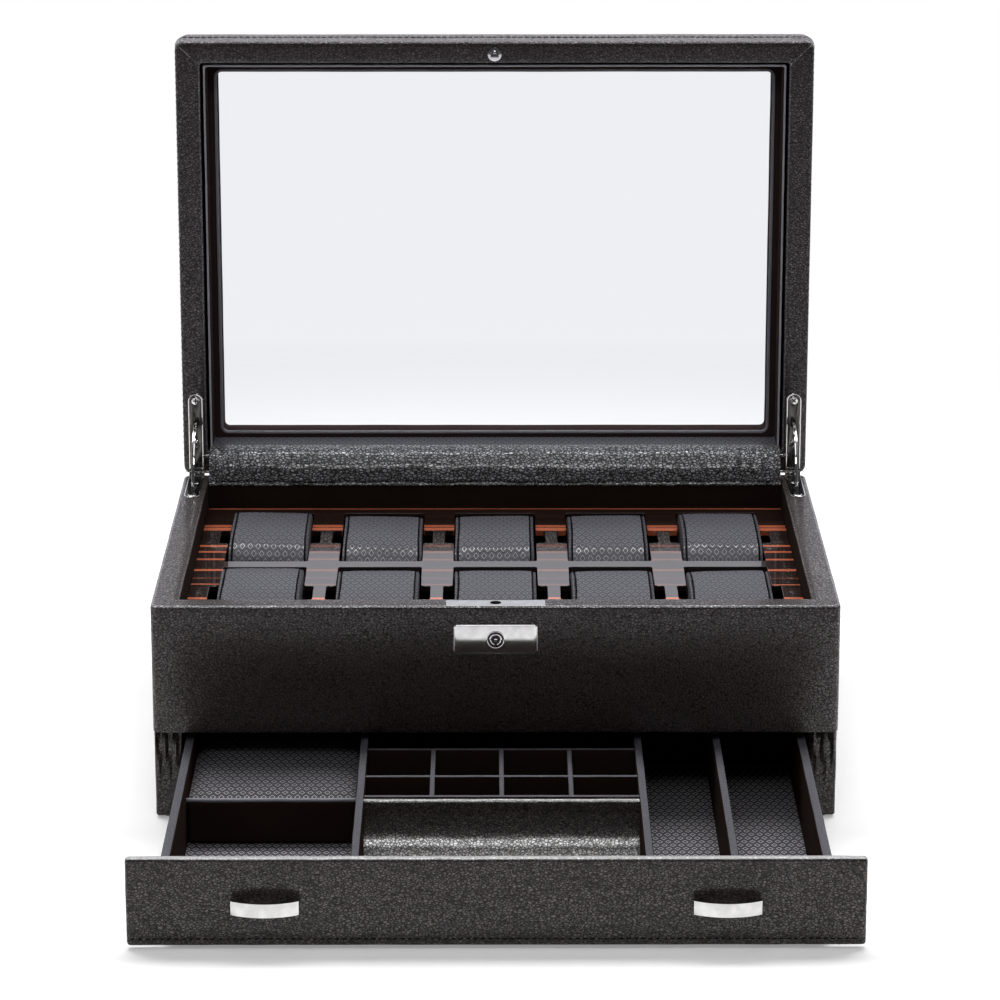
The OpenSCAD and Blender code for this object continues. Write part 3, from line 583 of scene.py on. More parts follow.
def case_shell(leather, lining, painted_highlight):
    """The upper walls as one wrapped skin that goes over the rim and down inside."""
    def outer(inset, z, front=0.0):
        return level(outline(-CASE_X + inset, CASE_X - inset, -CASE_Y + inset + front, CASE_Y - inset,
                             CORNER), z)

    def inner(out, z):
        return frame_loop((INNER_X, PANEL_BACK, LINING_Y), out, z, LINING_R)

    r, s = 1.5, 1.0
    loops = [inner(0.0, SHELF), outer(2.0, SHELF, 1.4), outer(0.0, SHELF, 1.4),
             outer(0.0, SHELF + 0.4, 0.42), outer(0.0, SHELF + 1.4)]
    loops += [outer(0.0, float(z)) for z in range(56, 107, 10)]
    rounding_from = len(loops)
    loops += [outer(r - r * math.cos(a), RIM - r + r * math.sin(a)) for a in QUARTER_TURN]
    loops += [outer(4.0, RIM + 0.05), inner(4.0, RIM + 0.05)]
    loops += [inner(s - s * math.sin(a), RIM - s + s * math.cos(a)) for a in QUARTER_TURN]
    loops += [inner(0.0, z) for z in (108.0, 100.0, 80.0)]
    lined = 5
    kinds = [0] * (len(loops) - lined) + [1] * lined
    # The rounded front edge of the rim is in the pale leather, which paints a highlight there.
    kinds[rounding_from + 1:rounding_from + 4] = [2, 2, 2]
    form = skin(Form(), loops, kinds)

    def under_rim_plate(face):
        return all(abs(x) < STUD_SLOT_X and STUD_SLOT_Y[0] < y < STUD_SLOT_Y[1] and z > RIM - 0.3
                   for x, y, z in (form.points[k] for k in face))

    kept = [i for i, face in enumerate(form.faces) if not under_rim_plate(face)]
    form.faces, form.kinds = [form.faces[i] for i in kept], [form.kinds[i] for i in kept]
    form.changed(lambda p: swayed(p, 0.16))
    piece("case_shell", form, "case", [leather, lining, painted_highlight],
          ("front_panel", "left_side", "right_side", "back_panel"))


def case_skirt(leather, lining):
    """The walls beside and behind the drawer."""
    def wall(inset, z):
        path = outline(-CASE_X + inset, CASE_X - inset, SKIRT_FRONT - CORNER, CASE_Y - inset, CORNER)
        return level(path[:U_COUNT], z)

    def bay(z):
        path = outline(-INNER_X, INNER_X, SKIRT_FRONT - LINING_R, LINING_Y, LINING_R)
        return level(path[:U_COUNT], z)

    loops = [bay(BASE_Z), wall(1.2, BASE_Z), wall(0.35, BASE_Z + 0.35), wall(0.0, BASE_Z + 1.2)]
    loops += [wall(0.0, z) for z in (12.0, 24.0, 36.0, SHELF + 0.2)]
    loops += [bay(SHELF + 0.2), bay(24.0)]
    form = skin(Form(), loops, [0] * 7 + [1] * 3, closed=False)
    form.changed(lambda p: swayed(p, 0.16) if p[2] < SHELF - 1 else p)
    piece("case_skirt", form, "case", [leather, lining])


def legs(leather):
    """The two front corners under the case, where the leather is gathered and tucked up."""
    front, back, face = -113.1, -103.0, -111.8
    gathered, depth = 34.0, 0.7

    def puckered(p):
        gather = max(0.0, 1.0 - (SHELF - p[2]) / gathered) ** 1.3 * (1.0 if p[1] < face else 0.0)
        fold = math.sin(p[0] * 1.3 + 0.14 * p[2]) + 0.5 * math.sin(p[0] * 2.4 - 0.17 * p[2])
        return (p[0], p[1] - depth * gather * fold, p[2])

    for side, name in ((-1, "left_leg"), (1, "right_leg")):
        x0, x1 = sorted((side * INNER_X, side * (CASE_X - 0.05)))
        leg = soft_box(Form(), (x0, front, BASE_Z), (x1, back, SHELF + 0.3), 1.5, 0.8)
        piece(name, leg.changed(puckered), "case", [leather])


def tray_opening(cx, cy):
    """The outline of one notched opening, its corners rounded."""
    half_x, half_y, notch, reach, r = 22.0, 44.75, 5.0, 11.5, 1.6
    right = [(half_x, -half_y), (half_x, -reach), (half_x + notch, -reach), (half_x + notch, reach),
             (half_x, reach), (half_x, half_y)]
    turns = [Vector(p) for p in right + [(-x, -y) for x, y in right]]
    points = []
    for i, here in enumerate(turns):
        before, after = turns[i - 1], turns[(i + 1) % len(turns)]
        one, two = here + (before - here).normalized() * r, here + (after - here).normalized() * r
        middle = one + two - here
        for k in range(4):
            a = k / 3.0 * math.pi / 2
            arm = (one - middle) * math.cos(a) + (two - middle) * math.sin(a)
            points.append((cx + middle.x + arm.x, cy + middle.y + arm.y))
    return points


def watch_tray(ebony):
    """The veneered board with its ten notched openings."""
    low, high = corners("watch_tray", (0.3, 0.3, 0.0), (-0.3, -0.2, 0.0))
    rings = [[(low[0], low[1]), (high[0], low[1]), (high[0], high[1]), (low[0], high[1])]]
    rings += [tray_opening(x, y) for y in ROW_Y.values() for x in WATCH_X]
    bm = bmesh.new()
    fill(bm, [[(x * MM, y * MM) for x, y in ring] for ring in rings], TRAY_TOP * MM)
    grown = bmesh.ops.extrude_face_region(bm, geom=bm.faces[:])
    for made in grown["geom"]:
        if isinstance(made, bmesh.types.BMVert):
            made.co.z = low[2] * MM
    bmesh.ops.recalc_face_normals(bm, faces=bm.faces)
    break_edges(bm, 1.2, 0.45, 0.5, (TRAY_TOP - 0.1) * MM)
    mesh = bpy.data.meshes.new("ebony_tray")
    bm.to_mesh(mesh)
    bm.free()
    finish_mesh(mesh, [ebony], 15.0)
    place_piece("ebony_tray", mesh, "case", ("watch_tray",))


# Lid

# Inset of the lid's skin at its sides, height of the closed lid there, and inset at its front
LID_SKIN = ((8.0, 154.5, 8.0), (4.6, 154.25, 4.6), (2.8, 153.6, 2.6), (1.6, 152.5, 1.2), (0.9, 150.8, 0.3),
            (0.2, 148.0, -0.7), (-0.6, 142.0, -1.1), (-1.3, 137.6, -1.2), (-1.45, LID_SEAM + 0.8, -1.2),
            (-0.8, LID_SEAM, -0.95), (-1.45, LID_SEAM - 0.8, -1.2), (-1.3, 133.0, -1.25),
            (-0.9, 128.0, -1.4), (-0.5, 122.0, -1.7), (-0.3, 118.6, -1.85), (-0.2, 117.3, -1.85),
            (0.1, 116.75, -1.7), (0.5, 116.4, -1.35), (1.2, 116.22, -0.7), (3.0, LID_RIM, 1.1))
# Half width, front and back of the lid's hollow, of its window and of the boards that line the hollow
HOLLOW = (159.4, -110.2, 107.0)
WINDOW = (151.8, -100.9, 101.9)
BOARDS = (158.0, -109.2, 107.0)


def lid_frame(leather, lip, lip_edge, painted_highlight):
    """The lid's rails as one wrapped skin, with the lip that holds the glass and its mitre lines."""
    def outer(inset, z, ahead):
        return level(outline(-CASE_X + inset, CASE_X - inset, -CASE_Y + ahead, CASE_Y - inset,
                             CORNER + 0.6), z)

    def hollow(out, z):
        return frame_loop(HOLLOW, out, z, 1.6)

    def window(out, z):
        return frame_loop(WINDOW, out, z, 2.7 + out)

    lip_z = 140.9
    loops = [window(1.6, LID_TOP), window(6.0, LID_TOP + 0.1)] + [outer(*skin_at) for skin_at in LID_SKIN]
    loops += [hollow(3.0, LID_RIM), hollow(1.0, LID_RIM + 0.05), hollow(0.4, LID_RIM + 0.3),
              hollow(0.1, LID_RIM + 0.8), hollow(0.0, LID_RIM + 1.4)]
    lip_from = len(loops) - 1
    loops += [hollow(0.0, 122.0), hollow(0.0, lip_z), window(1.7, lip_z)]
    edge_from = len(loops) - 1
    loops += [window(1.2, lip_z + 0.05), window(0.6, lip_z + 0.3), window(0.15, lip_z + 0.9)]
    edge_to = len(loops) - 1
    loops += [window(0.0, lip_z + 2.1), window(0.0, LID_TOP - 1.6), window(0.5, LID_TOP - 0.5)]
    kinds = [0] * lip_from + [1] * (len(loops) - lip_from)
    # The rounded edge of the lip is in the pale lip cloth, which paints a highlight there.
    kinds[edge_from:edge_to] = [2] * (edge_to - edge_from)
    # The rounded inner edge of the rails is in the pale leather, which paints a highlight there.
    kinds[lip_from - 3:lip_from - 1] = [3, 3]
    form = skin(Form(), loops, kinds)
    form.changed(lambda p: swayed(p, 0.14)).changed(lid_open)
    piece("lid_frame", form, "lid", [leather, lip, lip_edge, painted_highlight],
          ("lid_front_rail", "lid_rear_rail", "lid_left_rail", "lid_right_rail"))
    # The mitre lines are in the pale leather, which paints highlights along them.
    mitres = Form()
    for across in (-1.0, 1.0):
        for y, turn in ((-115.2, 1.0), (113.6, -1.0)):
            slant = Vector((across * 0.72, -turn * 0.69, 0.0))
            middle = Vector((across * 166.0, y, LID_RIM - 0.02))
            stitch(mitres, middle, slant, Vector((0, 0, -1)), (17.0, 0.7, 0.2))
    piece("lid_mitres", mitres.changed(lid_open), "lid", [painted_highlight], crease=60.0)


def lid_stitches(thread):
    """The sewn seam that runs round the middle of the lid's edge."""
    path = outline(-CASE_X - 1.3, CASE_X + 1.3, -CASE_Y - 1.05, CASE_Y + 1.3, CORNER + 1.6)
    form = Form()
    pitch, carry, strand = 3.45, 0.0, (2.6, 1.9, 0.5)
    for start, end in zip(path, path[1:] + path[:1]):
        step = Vector((end[0] - start[0], end[1] - start[1], 0.0))
        length = step.length
        if length < 1e-6:
            continue
        step /= length
        out = Vector((step.y, -step.x, 0.0))
        slant = (step + Vector((0.0, 0.0, 0.32))).normalized()
        while carry < length:
            stitch(form, Vector((*start, LID_SEAM)) + step * carry, slant, out, strand)
            carry += pitch
        carry -= length
    piece("lid_stitches", form.changed(lid_open), "lid", [thread], crease=60.0)


def lid_inside(cloth, dark, edge):
    """The covered boards that line the lid's hollow, all in one woven cloth: the pale edge is a painted
    highlight, and the dark suede on every wall but the hinge side is painted shade.
    """
    edge_rows = ((0.1, 118.4), (0.15, 117.7), (0.35, 117.25), (0.65, 117.1), (0.95, 117.25), (1.15, 117.7))
    face_rows = ((1.2, 118.4), (1.2, 126.0), (1.2, 134.0), (1.2, 140.8), (0.1, 140.8), (0.1, 128.0))
    loops = [frame_loop(BOARDS, -inset, z, 1.2) for inset, z in edge_rows + face_rows]
    form = skin(Form(), loops, [2] * len(edge_rows) + [1] * len(face_rows))
    # Every wall but the one on the hinge side is in the dark suede: painted shade on the woven cloth.
    for i, face in enumerate(form.faces):
        if form.kinds[i] == 1 and min(form.points[k][1] for k in face) > 105.0:
            form.kinds[i] = 0
    form.changed(lambda p: swayed(p, 0.08)).changed(lid_open)
    piece("lid_inside", form, "lid", [cloth, dark, edge], ("lid_lining",))


def gusset(leather):
    """The strip of leather that closes the gap behind the hinges, creased where it folds."""
    # Its section: a tuck under the rim, a hollow arc, and the edge glued inside the lid, as depth and height
    path = [(106.9, 112.5), (106.2, 112.6), (105.4, 113.0), (105.2, 113.5), (105.5, 114.0), (106.4, 114.4),
            (106.5, 114.9), (106.1, 115.4), (105.9, 116.0), (106.1, 116.8)]
    arc_y, arc_z, arc_r = 120.6, 116.8, 14.2
    path += [(arc_y + arc_r * math.cos(math.radians(a)), arc_z + arc_r * math.sin(math.radians(a)))
             for a in (174, *range(168, 97, -7))]
    path += [(120.4, 131.0), (122.2, 131.1), (124.2, 131.1)]
    half, count, thick = 157.9, 190, 0.8
    front, back = [], []
    for k, (y, z) in enumerate(path):
        before, after = path[max(0, k - 1)], path[min(len(path) - 1, k + 1)]
        run = Vector((0.0, after[0] - before[0], after[1] - before[1])).normalized()
        out = Vector((0.0, -run.z, run.y))
        t = k / (len(path) - 1.0)
        low = math.exp(-((t - 0.3) / 0.12) ** 2)
        loose = max(0.0, 1.0 - t / 0.35)
        row = []
        for i in range(count + 1):
            x = -half + 2 * half * i / count
            end = half - abs(x)
            wave = ripple(x * 0.055, 3.1, t * 1.3) + 0.55 * ripple(x * 0.16, 8.2, t * 2.0)
            fan = math.exp(-end / 11.0) * math.sin(end * 0.9 + t * 7.0) * math.sin(math.pi * t)
            lift = 0.9 * low * wave + 0.8 * fan + 0.3 * ripple(x * 0.05, t * 7.0, 1.0)
            if t < 0.22 or t > 0.86:
                lift *= 0.15
            pucker = 0.55 * ripple(x * 0.09, 5.0, 0.0) + 0.35 * ripple(x * 0.3, 2.0, 0.0)
            row.append(Vector((x, y, z + loose * pucker)) + out * lift)
        front.append(row)
        back.append([p - out * thick for p in row])
    loops = front + back[::-1]
    form = skin(Form(), loops, closed=False)
    for column in (0, count):
        strip = [k * (count + 1) + column for k in range(len(loops))]
        for k in range(len(path) - 1):
            far = len(loops) - 1 - k
            form.faces.append((strip[k], strip[k + 1], strip[far - 1], strip[far]))
            form.kinds.append(0)
    made = piece("gusset", form, None, [leather], ("case_flap", "lid_flap"), crease=70.0)
    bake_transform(made)


# Hinges, lock and pulls

def cross_slot_head(form, centre, out, across):
    """A screw head with a cross cut into it."""
    up = out.cross(across)
    r, proud, count = 2.4, 0.14, 32
    arm, wide, floor, flat = 0.62 * r, 0.17 * r, proud - 0.75, proud + 0.05

    def spot(a, b, c):
        return centre + across * a + up * b + out * c

    def circle(rad):
        return [(rad * math.cos(math.tau * k / count), rad * math.sin(math.tau * k / count))
                for k in range(count)]

    profile = [(r, -0.6), (r, proud - 0.28), (r * 0.96, proud - 0.12), (r * 0.88, proud), (r * 0.74, flat)]
    points = [spot(a, b, height) for rad, height in profile for a, b in circle(rad)]
    form.add(points, grid(len(profile), count, wrap_columns=True))
    half = [(wide, wide), (wide, arm), (-wide, arm), (-wide, wide), (-arm, wide), (-arm, -wide)]
    cross = half + [(-a, -b) for a, b in half]
    bm = bmesh.new()
    fill(bm, (circle(r * 0.74), cross))
    bm.verts.index_update()
    form.add([spot(v.co.x, v.co.y, flat) for v in bm.verts], [[v.index for v in f.verts] for f in bm.faces])
    bm.free()
    walls = [spot(a, b, flat) for a, b in cross] + [spot(0.8 * a, 0.8 * b, floor) for a, b in cross]
    turns = len(cross)
    form.add(walls, grid(2, turns, wrap_columns=True) + [tuple(range(turns, 2 * turns))])


def hinge_screws(nickel):
    upper, lower = Form(), Form()
    for side in (-1.0, 1.0):
        for k, reach in enumerate(SCREW_REACH):
            turn = 0.5 + 0.9 * k + 0.4 * side
            across = Vector((math.cos(turn), math.sin(turn), 0.0))
            middle = Vector((side * LEAF_X, HINGE_Y - reach, LOWER_LEAF_Z))
            cross_slot_head(lower, middle, Vector((0, 0, 1)), across)
            across = Vector((math.cos(turn + 0.6), 0.0, math.sin(turn + 0.6)))
            middle = Vector((side * LEAF_X, UPPER_LEAF_Y, HINGE_Z + reach))
            cross_slot_head(upper, middle, Vector((0, -1, 0)), across)
    for name, form, body in (("lower", lower, "case"), ("upper", upper, "lid")):
        piece(f"{name}_hinge_screw_heads", form, body, [nickel],
              (f"{name}_hinge_screws",), 30.0)


def leaf_borders(nickel):
    """The polished border that runs round each hinge leaf's face, whose darker nickel is painted shade."""
    def capsule(inset):
        half, low, far, steps = 4.2 - inset, 2.6 + inset, SCREW_REACH[1], 12
        run = [(far - low) * i / steps for i in range(steps + 1)]
        arc = [math.radians(a) for a in range(12, 180, 12)]
        return ([(half, low + v) for v in run] + [(half * math.cos(a), far + half * math.sin(a)) for a in arc]
                + [(-half, far - v) for v in run])

    profile = ((0.0, -0.4), (0.0, 0.08), (0.12, 0.16), (0.75, 0.16), (0.95, 0.08), (1.05, -0.4))
    for name, body, place in (("lower", "case", lambda u, v, h: (u, HINGE_Y - v, LOWER_LEAF_Z + h)),
                              ("upper", "lid", lambda u, v, h: (u, UPPER_LEAF_Y - h, HINGE_Z + v))):
        form = Form()
        for side in (-LEAF_X, LEAF_X):
            skin(form, [[place(side + u, v, h) for u, v in capsule(inset)] for inset, h in profile])
        piece(f"{name}_leaf_borders", form, body, [nickel], crease=40.0)


def hinge_bars(nickel):
    """The two short bars of each hinge that show beside the gusset's ends."""
    form = Form()
    back = HINGE_Y - 0.02
    for side in (-1.0, 1.0):
        x0, x1 = sorted((side * 158.0, side * 162.6))
        for front, z0, z1 in ((121.4, 125.3, 126.7), (121.0, 116.1, 117.4)):
            soft_box(form, (x0, back, z0), (x1, front, z1), 0.3, 3.0, sway=0.0)
    piece("hinge_bars", form, "lid", [nickel], crease=30.0)


def key_plate(nickel):
    """The plate round the key barrel, a little pillowed, with a turned edge and a raised collar."""
    (x0, face, z0), (x1, back, z1) = corners("lock_keyplate")
    middle, r, puff, steps = (z0 + z1) / 2.0, 0.5, 0.3, 14
    form = Form()

    def plate(inset, corner):
        return outline(x0 + inset, x1 - inset, z0 + inset, z1 - inset, corner, 42, 24, 4)

    edge = ((0.0, back), (0.0, face + r), (0.15 * r, face + 0.5 * r), (0.5 * r, face + 0.13 * r), (r, face))
    skin(form, [[(x, y, z) for x, z in plate(inset, 1.1)] for inset, y in edge], ring=False)

    def pillow(x, z):
        u, v = (x - x0 - r) / (x1 - x0 - 2 * r), (z - z0 - r) / (z1 - z0 - 2 * r)
        return face - puff * max(0.0, math.sin(math.pi * v)) ** 0.9 * max(0.0, 4 * u * (1 - u)) ** 0.12

    def drawn_in(x, z, t, size=1.0):
        """A point of the rim moved towards the barrel's hole, and onto its edge where t is 1."""
        reach = 1.0 + (BARREL_HOLE * size / math.hypot(x, z - middle) - 1.0) * t
        return x * reach, middle + (z - middle) * reach

    rim = plate(r, 1.0)
    loops = []
    for k in range(steps + 1):
        ring = [drawn_in(x, z, k / steps) for x, z in rim]
        loops.append([(x, pillow(x, z), z) for x, z in ring])
    top = pillow(0.0, middle)
    for size, y in ((1.0, top - 0.18), (0.93, top - 0.25), (0.86, top - 0.18), (0.86, back)):
        ring = [drawn_in(x, z, 1.0, size) for x, z in rim]
        loops.append([(x, y, z) for x, z in ring])
    skin(form, loops, ring=False)
    piece("key_plate", form, "case", [nickel], ("lock_keyplate",), 40.0)


# Cuffs

CUFF_HALF = (21.35, 39.6, 26.4)
CUFF_MIDDLE = 81.3
WELL_FLOOR = 54.35
# How far each cuff has slid and sunk in its opening, and how it leans
CUFF_SEATS = {"front": ((0.3, 0.0, 0.3), (-2.4, -0.6, 0.0), (-2.4, -0.6, 0.2), (-2.4, -0.8, -0.4),
                        (-2.4, -0.8, -1.0)),
              "rear": ((2.4, 0.2, 1.2), (-2.4, -0.6, 1.1), (-2.2, -0.5, -0.8), (-1.8, -0.4, -0.5),
                       (0.3, 0.0, 0.2))}
# How far the woven pattern moves on from cuff to cuff and from row to row
PATTERN_STEP, PATTERN_ROW = 17.3, {"front": 0.0, "rear": 9.1}


def roll_rings(half_x, half_y, half_z, count=72):
    """Rings of a padded roll from end to end, nearly square-edged where its side panels are sewn in."""
    ends = [(0.1, 0.3), (0.1, 0.6), (0.08, 0.86), (-0.05, 0.968), (-0.6, 0.996)]
    inset, steps, fullness = 2.6, 10, 0.58
    rings = [(-half_x - out, size) for out, size in ends]
    rings += [(-half_x + inset + (2 * half_x - 2 * inset) * i / steps, 1.0) for i in range(steps + 1)]
    rings += [(half_x + out, size) for out, size in reversed(ends)]
    loops = []
    for x, size in rings:
        loop = []
        for k in range(count):
            c, s = math.cos(math.tau * k / count), math.sin(math.tau * k / count)
            y = math.copysign(abs(c) ** fullness, c) * half_y
            z = math.copysign(abs(s) ** fullness, s) * half_z
            loop.append((x, y * size, z * size))
        loops.append(loop)
    return loops


def puffed(loops, most, steps=20):
    """The roll blown up a little as stuffed cloth, no point moving further than most."""
    count = len(loops[0])
    flat = [p for loop in loops for p in loop]
    mesh = bpy.data.meshes.new("roll_draft")
    mesh.from_pydata([(x * MM, y * MM, z * MM) for x, y, z in flat], [], tube(len(loops), count))
    draft = show("roll_draft", mesh)
    cloth = draft.modifiers.new("stuffing", "CLOTH")
    cloth.settings.use_pressure = True
    cloth.settings.uniform_pressure_force = 4.0
    cloth.settings.effector_weights.gravity = 0.0
    cloth.settings.quality = 6
    cloth.settings.mass = 0.25
    cloth.settings.tension_stiffness = 20.0
    cloth.settings.compression_stiffness = 20.0
    cloth.collision_settings.use_collision = False
    cloth.point_cache.frame_start, cloth.point_cache.frame_end = 1, steps
    for step in range(1, steps + 1):
        bpy.context.scene.frame_set(step)
    seen = draft.evaluated_get(bpy.context.evaluated_depsgraph_get()).to_mesh()
    blown = [Vector(v.co) / MM for v in seen.vertices]
    bpy.context.scene.frame_set(1)
    bpy.data.objects.remove(draft, do_unlink=True)
    result = []
    for start, end in zip(flat, blown):
        move = end - Vector(start)
        if move.length > most:
            move *= most / move.length
        result.append(Vector(start) + move)
    return [result[i * count:(i + 1) * count] for i in range(len(loops))]


def sewn_rings(loops, seam):
    """Twice as many rings, with a sunk seam round the roll near each end."""
    rings = []
    for here, after in zip(loops, loops[1:]):
        rings += [[a.lerp(b, t) for a, b in zip(here, after)] for t in (0.0, 0.5)]
    rings.append(loops[-1])
    for mark in (-seam, seam):
        for off, sink in ((-0.9, 0.0), (-0.45, 0.7), (0.0, 1.1), (0.45, 0.7), (0.9, 0.0)):
            x = mark + off
            before = max((r for r in rings if r[0].x < x), key=lambda r: r[0].x)
            after = min((r for r in rings if r[0].x >= x), key=lambda r: r[0].x)
            t = (x - before[0].x) / max(1e-6, after[0].x - before[0].x)
            made = [a.lerp(b, t) for a, b in zip(before, after)]
            made = [p - Vector((0.0, p.y, p.z)).normalized() * sink for p in made]
            rings.insert(rings.index(before) + 1, made)
    return rings


def flat_places(rings):
    """Where each point of a roll lies on its flat cloth, along the roll and round it, then its two ends."""
    widest = rings[len(rings) // 2]
    around = [0.0]
    for here, after in zip(widest, widest[1:]):
        around.append(around[-1] + (after - here).length)
    along = [0.0]
    for here, after in zip(rings, rings[1:]):
        step = (sum(after, Vector()) - sum(here, Vector())).length / len(here)
        narrowing = abs(max(p.y for p in here) - max(p.y for p in after))
        along.append(along[-1] + step + 0.5 * narrowing)
    cap = 8.0
    return [(a, b, 0.0) for a in along for b in around] + [(-cap, 0.0, 0.0), (along[-1] + cap, 0.0, 0.0)]


def cuffs(cloth, thread):
    """The ten padded rolls, each seated a little differently in its opening."""
    seam = CUFF_HALF[0] - 2.1
    loops = roll_rings(*CUFF_HALF)
    loops = puffed(loops, 0.45)
    rings = sewn_rings(loops, seam)
    count = len(rings[0])
    points = [p for ring in rings for p in ring] + [sum(r, Vector()) / count for r in (rings[0], rings[-1])]
    spread = flat_places(rings)
    faces = grid(len(rings), count, wrap_columns=True)
    kinds = [int(abs(abs(a[0].x + b[0].x) / 2.0 - seam) < 0.32)
             for a, b in zip(rings, rings[1:]) for k in range(count)]
    last = (len(rings) - 1) * count
    for k in range(count):
        faces.append((len(points) - 2, (k + 1) % count, k))
        faces.append((len(points) - 1, last + k, last + (k + 1) % count))
    kinds += [0] * (2 * count)
    for row, row_y in ROW_Y.items():
        for number, column in enumerate(WATCH_X, 1):
            slid, sunk, lean = CUFF_SEATS[row][number - 1]
            tilt = Matrix.Rotation(math.radians(lean), 3, "Y")
            turn = tilt @ Matrix.Rotation(math.radians(0.2 * lean), 3, "Z")
            name = f"{row}_cuff_{number}"
            mesh = bpy.data.meshes.new(name + "_roll")
            placed = [turn @ p + Vector((column, row_y + slid, CUFF_MIDDLE + sunk)) for p in points]
            mesh.from_pydata([(p.x * MM, p.y * MM, max(WELL_FLOOR, p.z) * MM) for p in placed], [], faces)
            bm = bmesh.new()
            bm.from_mesh(mesh)
            bmesh.ops.recalc_face_normals(bm, faces=bm.faces)
            bm.to_mesh(mesh)
            bm.free()
            finish_mesh(mesh, [cloth, thread], 60.0)
            mesh.polygons.foreach_set("material_index", kinds)
            shift = PATTERN_STEP * number + PATTERN_ROW[row]
            lay_cloth(mesh, [(a, b + shift, c) for a, b, c in spread])
            made = place_piece(name + "_roll", mesh, "body_" + name, (name,))


# Drawer

def drawer_boards(leather, painted_highlight, cloth, dark, thread):
    """The drawer's face with its sewn lower edge, and the covered boards behind it."""
    low, high = corners("drawer_front")
    # The top of the drawer's face is in the pale edge leather, which paints a highlight there.
    face = soft_box(Form(), low, high, 1.7, 5.0, sway=0.16, top_kind=1)
    piece("drawer_face", face, "drawer", [leather, painted_highlight], ("drawer_front",))
    sewn = Form()
    slant, out, strand = Vector((1, 0, 0.1)).normalized(), Vector((0, -1, 0)), (2.2, 0.8, 0.3)
    pitch, seam_z = 3.4, 5.6
    x = low[0] + 3.0
    while x < high[0] - 2.5:
        stitch(sewn, Vector((x, low[1] + 0.02, seam_z)), slant, out, strand)
        x += pitch
    piece("drawer_stitches", sewn, "drawer", [thread], crease=60.0)

    def board(name, node, low=(0.0, 0.0, 0.0), high=(0.0, 0.0, 0.0)):
        # Tops in the cloth and sides in the dark suede: the dark sides are painted shade.
        form = soft_box(Form(), *corners(node, low, high), 0.9, kind=1, top_kind=0)
        piece(name, form, "drawer", [cloth, dark], (node,))

    for side in ("left", "right"):
        board(f"drawer_{side}_board", f"drawer_{side}_side", low=(0.0, -0.4, 0.0))
    board("drawer_back_board", "drawer_back", (-0.4, 0.0, 0.0), (0.4, 0.0, 0.0))
    for place in ("left", "middle", "right"):
        board(f"{place}_board", f"{place}_divider", (0.0, 0.0, -0.3), (0.0, 0.2, -0.1))


def raised_bed(cloth, dark, edge):
    """The padded bed behind the left front compartment, crowned, with a cord along its front edge."""
    low, high = corners("raised_pad", (0.2, 0.0, -0.1), (-0.2, -0.2, 0.0))
    # Its sides are in the dark suede, which paints their shade; the top is in the cloth.
    form = soft_box(Form(), low, high, 2.6, 3.0, kind=1, sway=0.15, top_kind=0)
    rise_from = 26.0

    def crowned(p):
        reach = min(p[0] - low[0], high[0] - p[0], p[1] - low[1], high[1] - p[1])
        up = max(0.0, (p[2] - rise_from) / (high[2] - rise_from))
        return (p[0], p[1], p[2] + up * (1.6 * (1.0 - math.exp(-max(0.0, reach) / 6.0)) - 0.3))

    form.changed(crowned)
    turns, steps, r = 8, 56, 1.1
    cord = []
    for i in range(steps + 1):
        x = low[0] + (high[0] - low[0]) * i / steps
        for k in range(turns):
            a = math.tau * k / turns
            round_cord = (x, low[1] + 1.0 + r * math.cos(a), high[2] - 0.5 + r * math.sin(a))
            cord.append(swayed(round_cord, 0.2, 9.0))
    # The cord is in the pale lip cloth, which paints the highlight along the bed's front edge.
    form.add(cord, tube(steps + 1, turns), 2)
    made = piece("raised_bed", form, "drawer", [cloth, dark, edge], ("raised_pad",))


def drawer_floor(cloth):
    """The cloth laid on the drawer's bottom."""
    low, high = corners("drawer_lining", (0.1, 0.0, 0.0), (-0.1, 0.0, 0.0))
    wide, long = high[0] - low[0], high[1] - low[1]
    columns, rows = 110, 76
    points = []
    for j in range(rows + 1):
        for i in range(columns + 1):
            x, y = low[0] + wide * i / columns, low[1] + long * j / rows
            points.append((x, y, high[2] + 0.18 * ripple(x * 0.05, y * 0.05, 2.0)))
    faces = grid(rows + 1, columns + 1)
    form = Form().add(points, faces).add([(x, y, low[2]) for x, y, _ in points], faces)
    edge = list(range(columns + 1))
    edge += [j * (columns + 1) + columns for j in range(1, rows + 1)]
    edge += [rows * (columns + 1) + i for i in range(columns - 1, -1, -1)]
    edge += [j * (columns + 1) for j in range(rows - 1, 0, -1)]
    under = len(points)
    form.faces += [(a, b, b + under, a + under) for a, b in zip(edge, edge[1:] + edge[:1])]
    form.kinds += [0] * len(edge)
    made = piece("drawer_floor_cloth", form, "drawer", [cloth], ("drawer_lining",))
    flat = (round(wide * MM, 4), round(long * MM, 4))


def drawer_grid(cloth, dark):
    """The covered boards of the eight small compartments."""
    low, high = corners("grid_dividers")
    thick, cover, column = 2.6, 0.3, 33.9
    under, top = low[2] - 0.1, high[2] - 0.2
    form = Form()
    for row in (0.0, 28.0, 67.0):
        # Each board's sides are in the dark suede, which paints their shade; the tops are in the cloth.
        y = low[1] + row - cover
        soft_box(form, (low[0] - 0.2, y, under), (high[0] + 0.2, y + thick, top), 0.8, kind=1, top_kind=0)
    for k in range(1, 4):
        x = low[0] + column * k - 2.0 - cover
        soft_box(form, (x, low[1] + 1.4, under), (x + thick, high[1] - 0.8, top - 0.05), 0.8, kind=1,
                 top_kind=0)
    piece("grid_boards", form, "drawer", [cloth, dark], ("grid_dividers",))


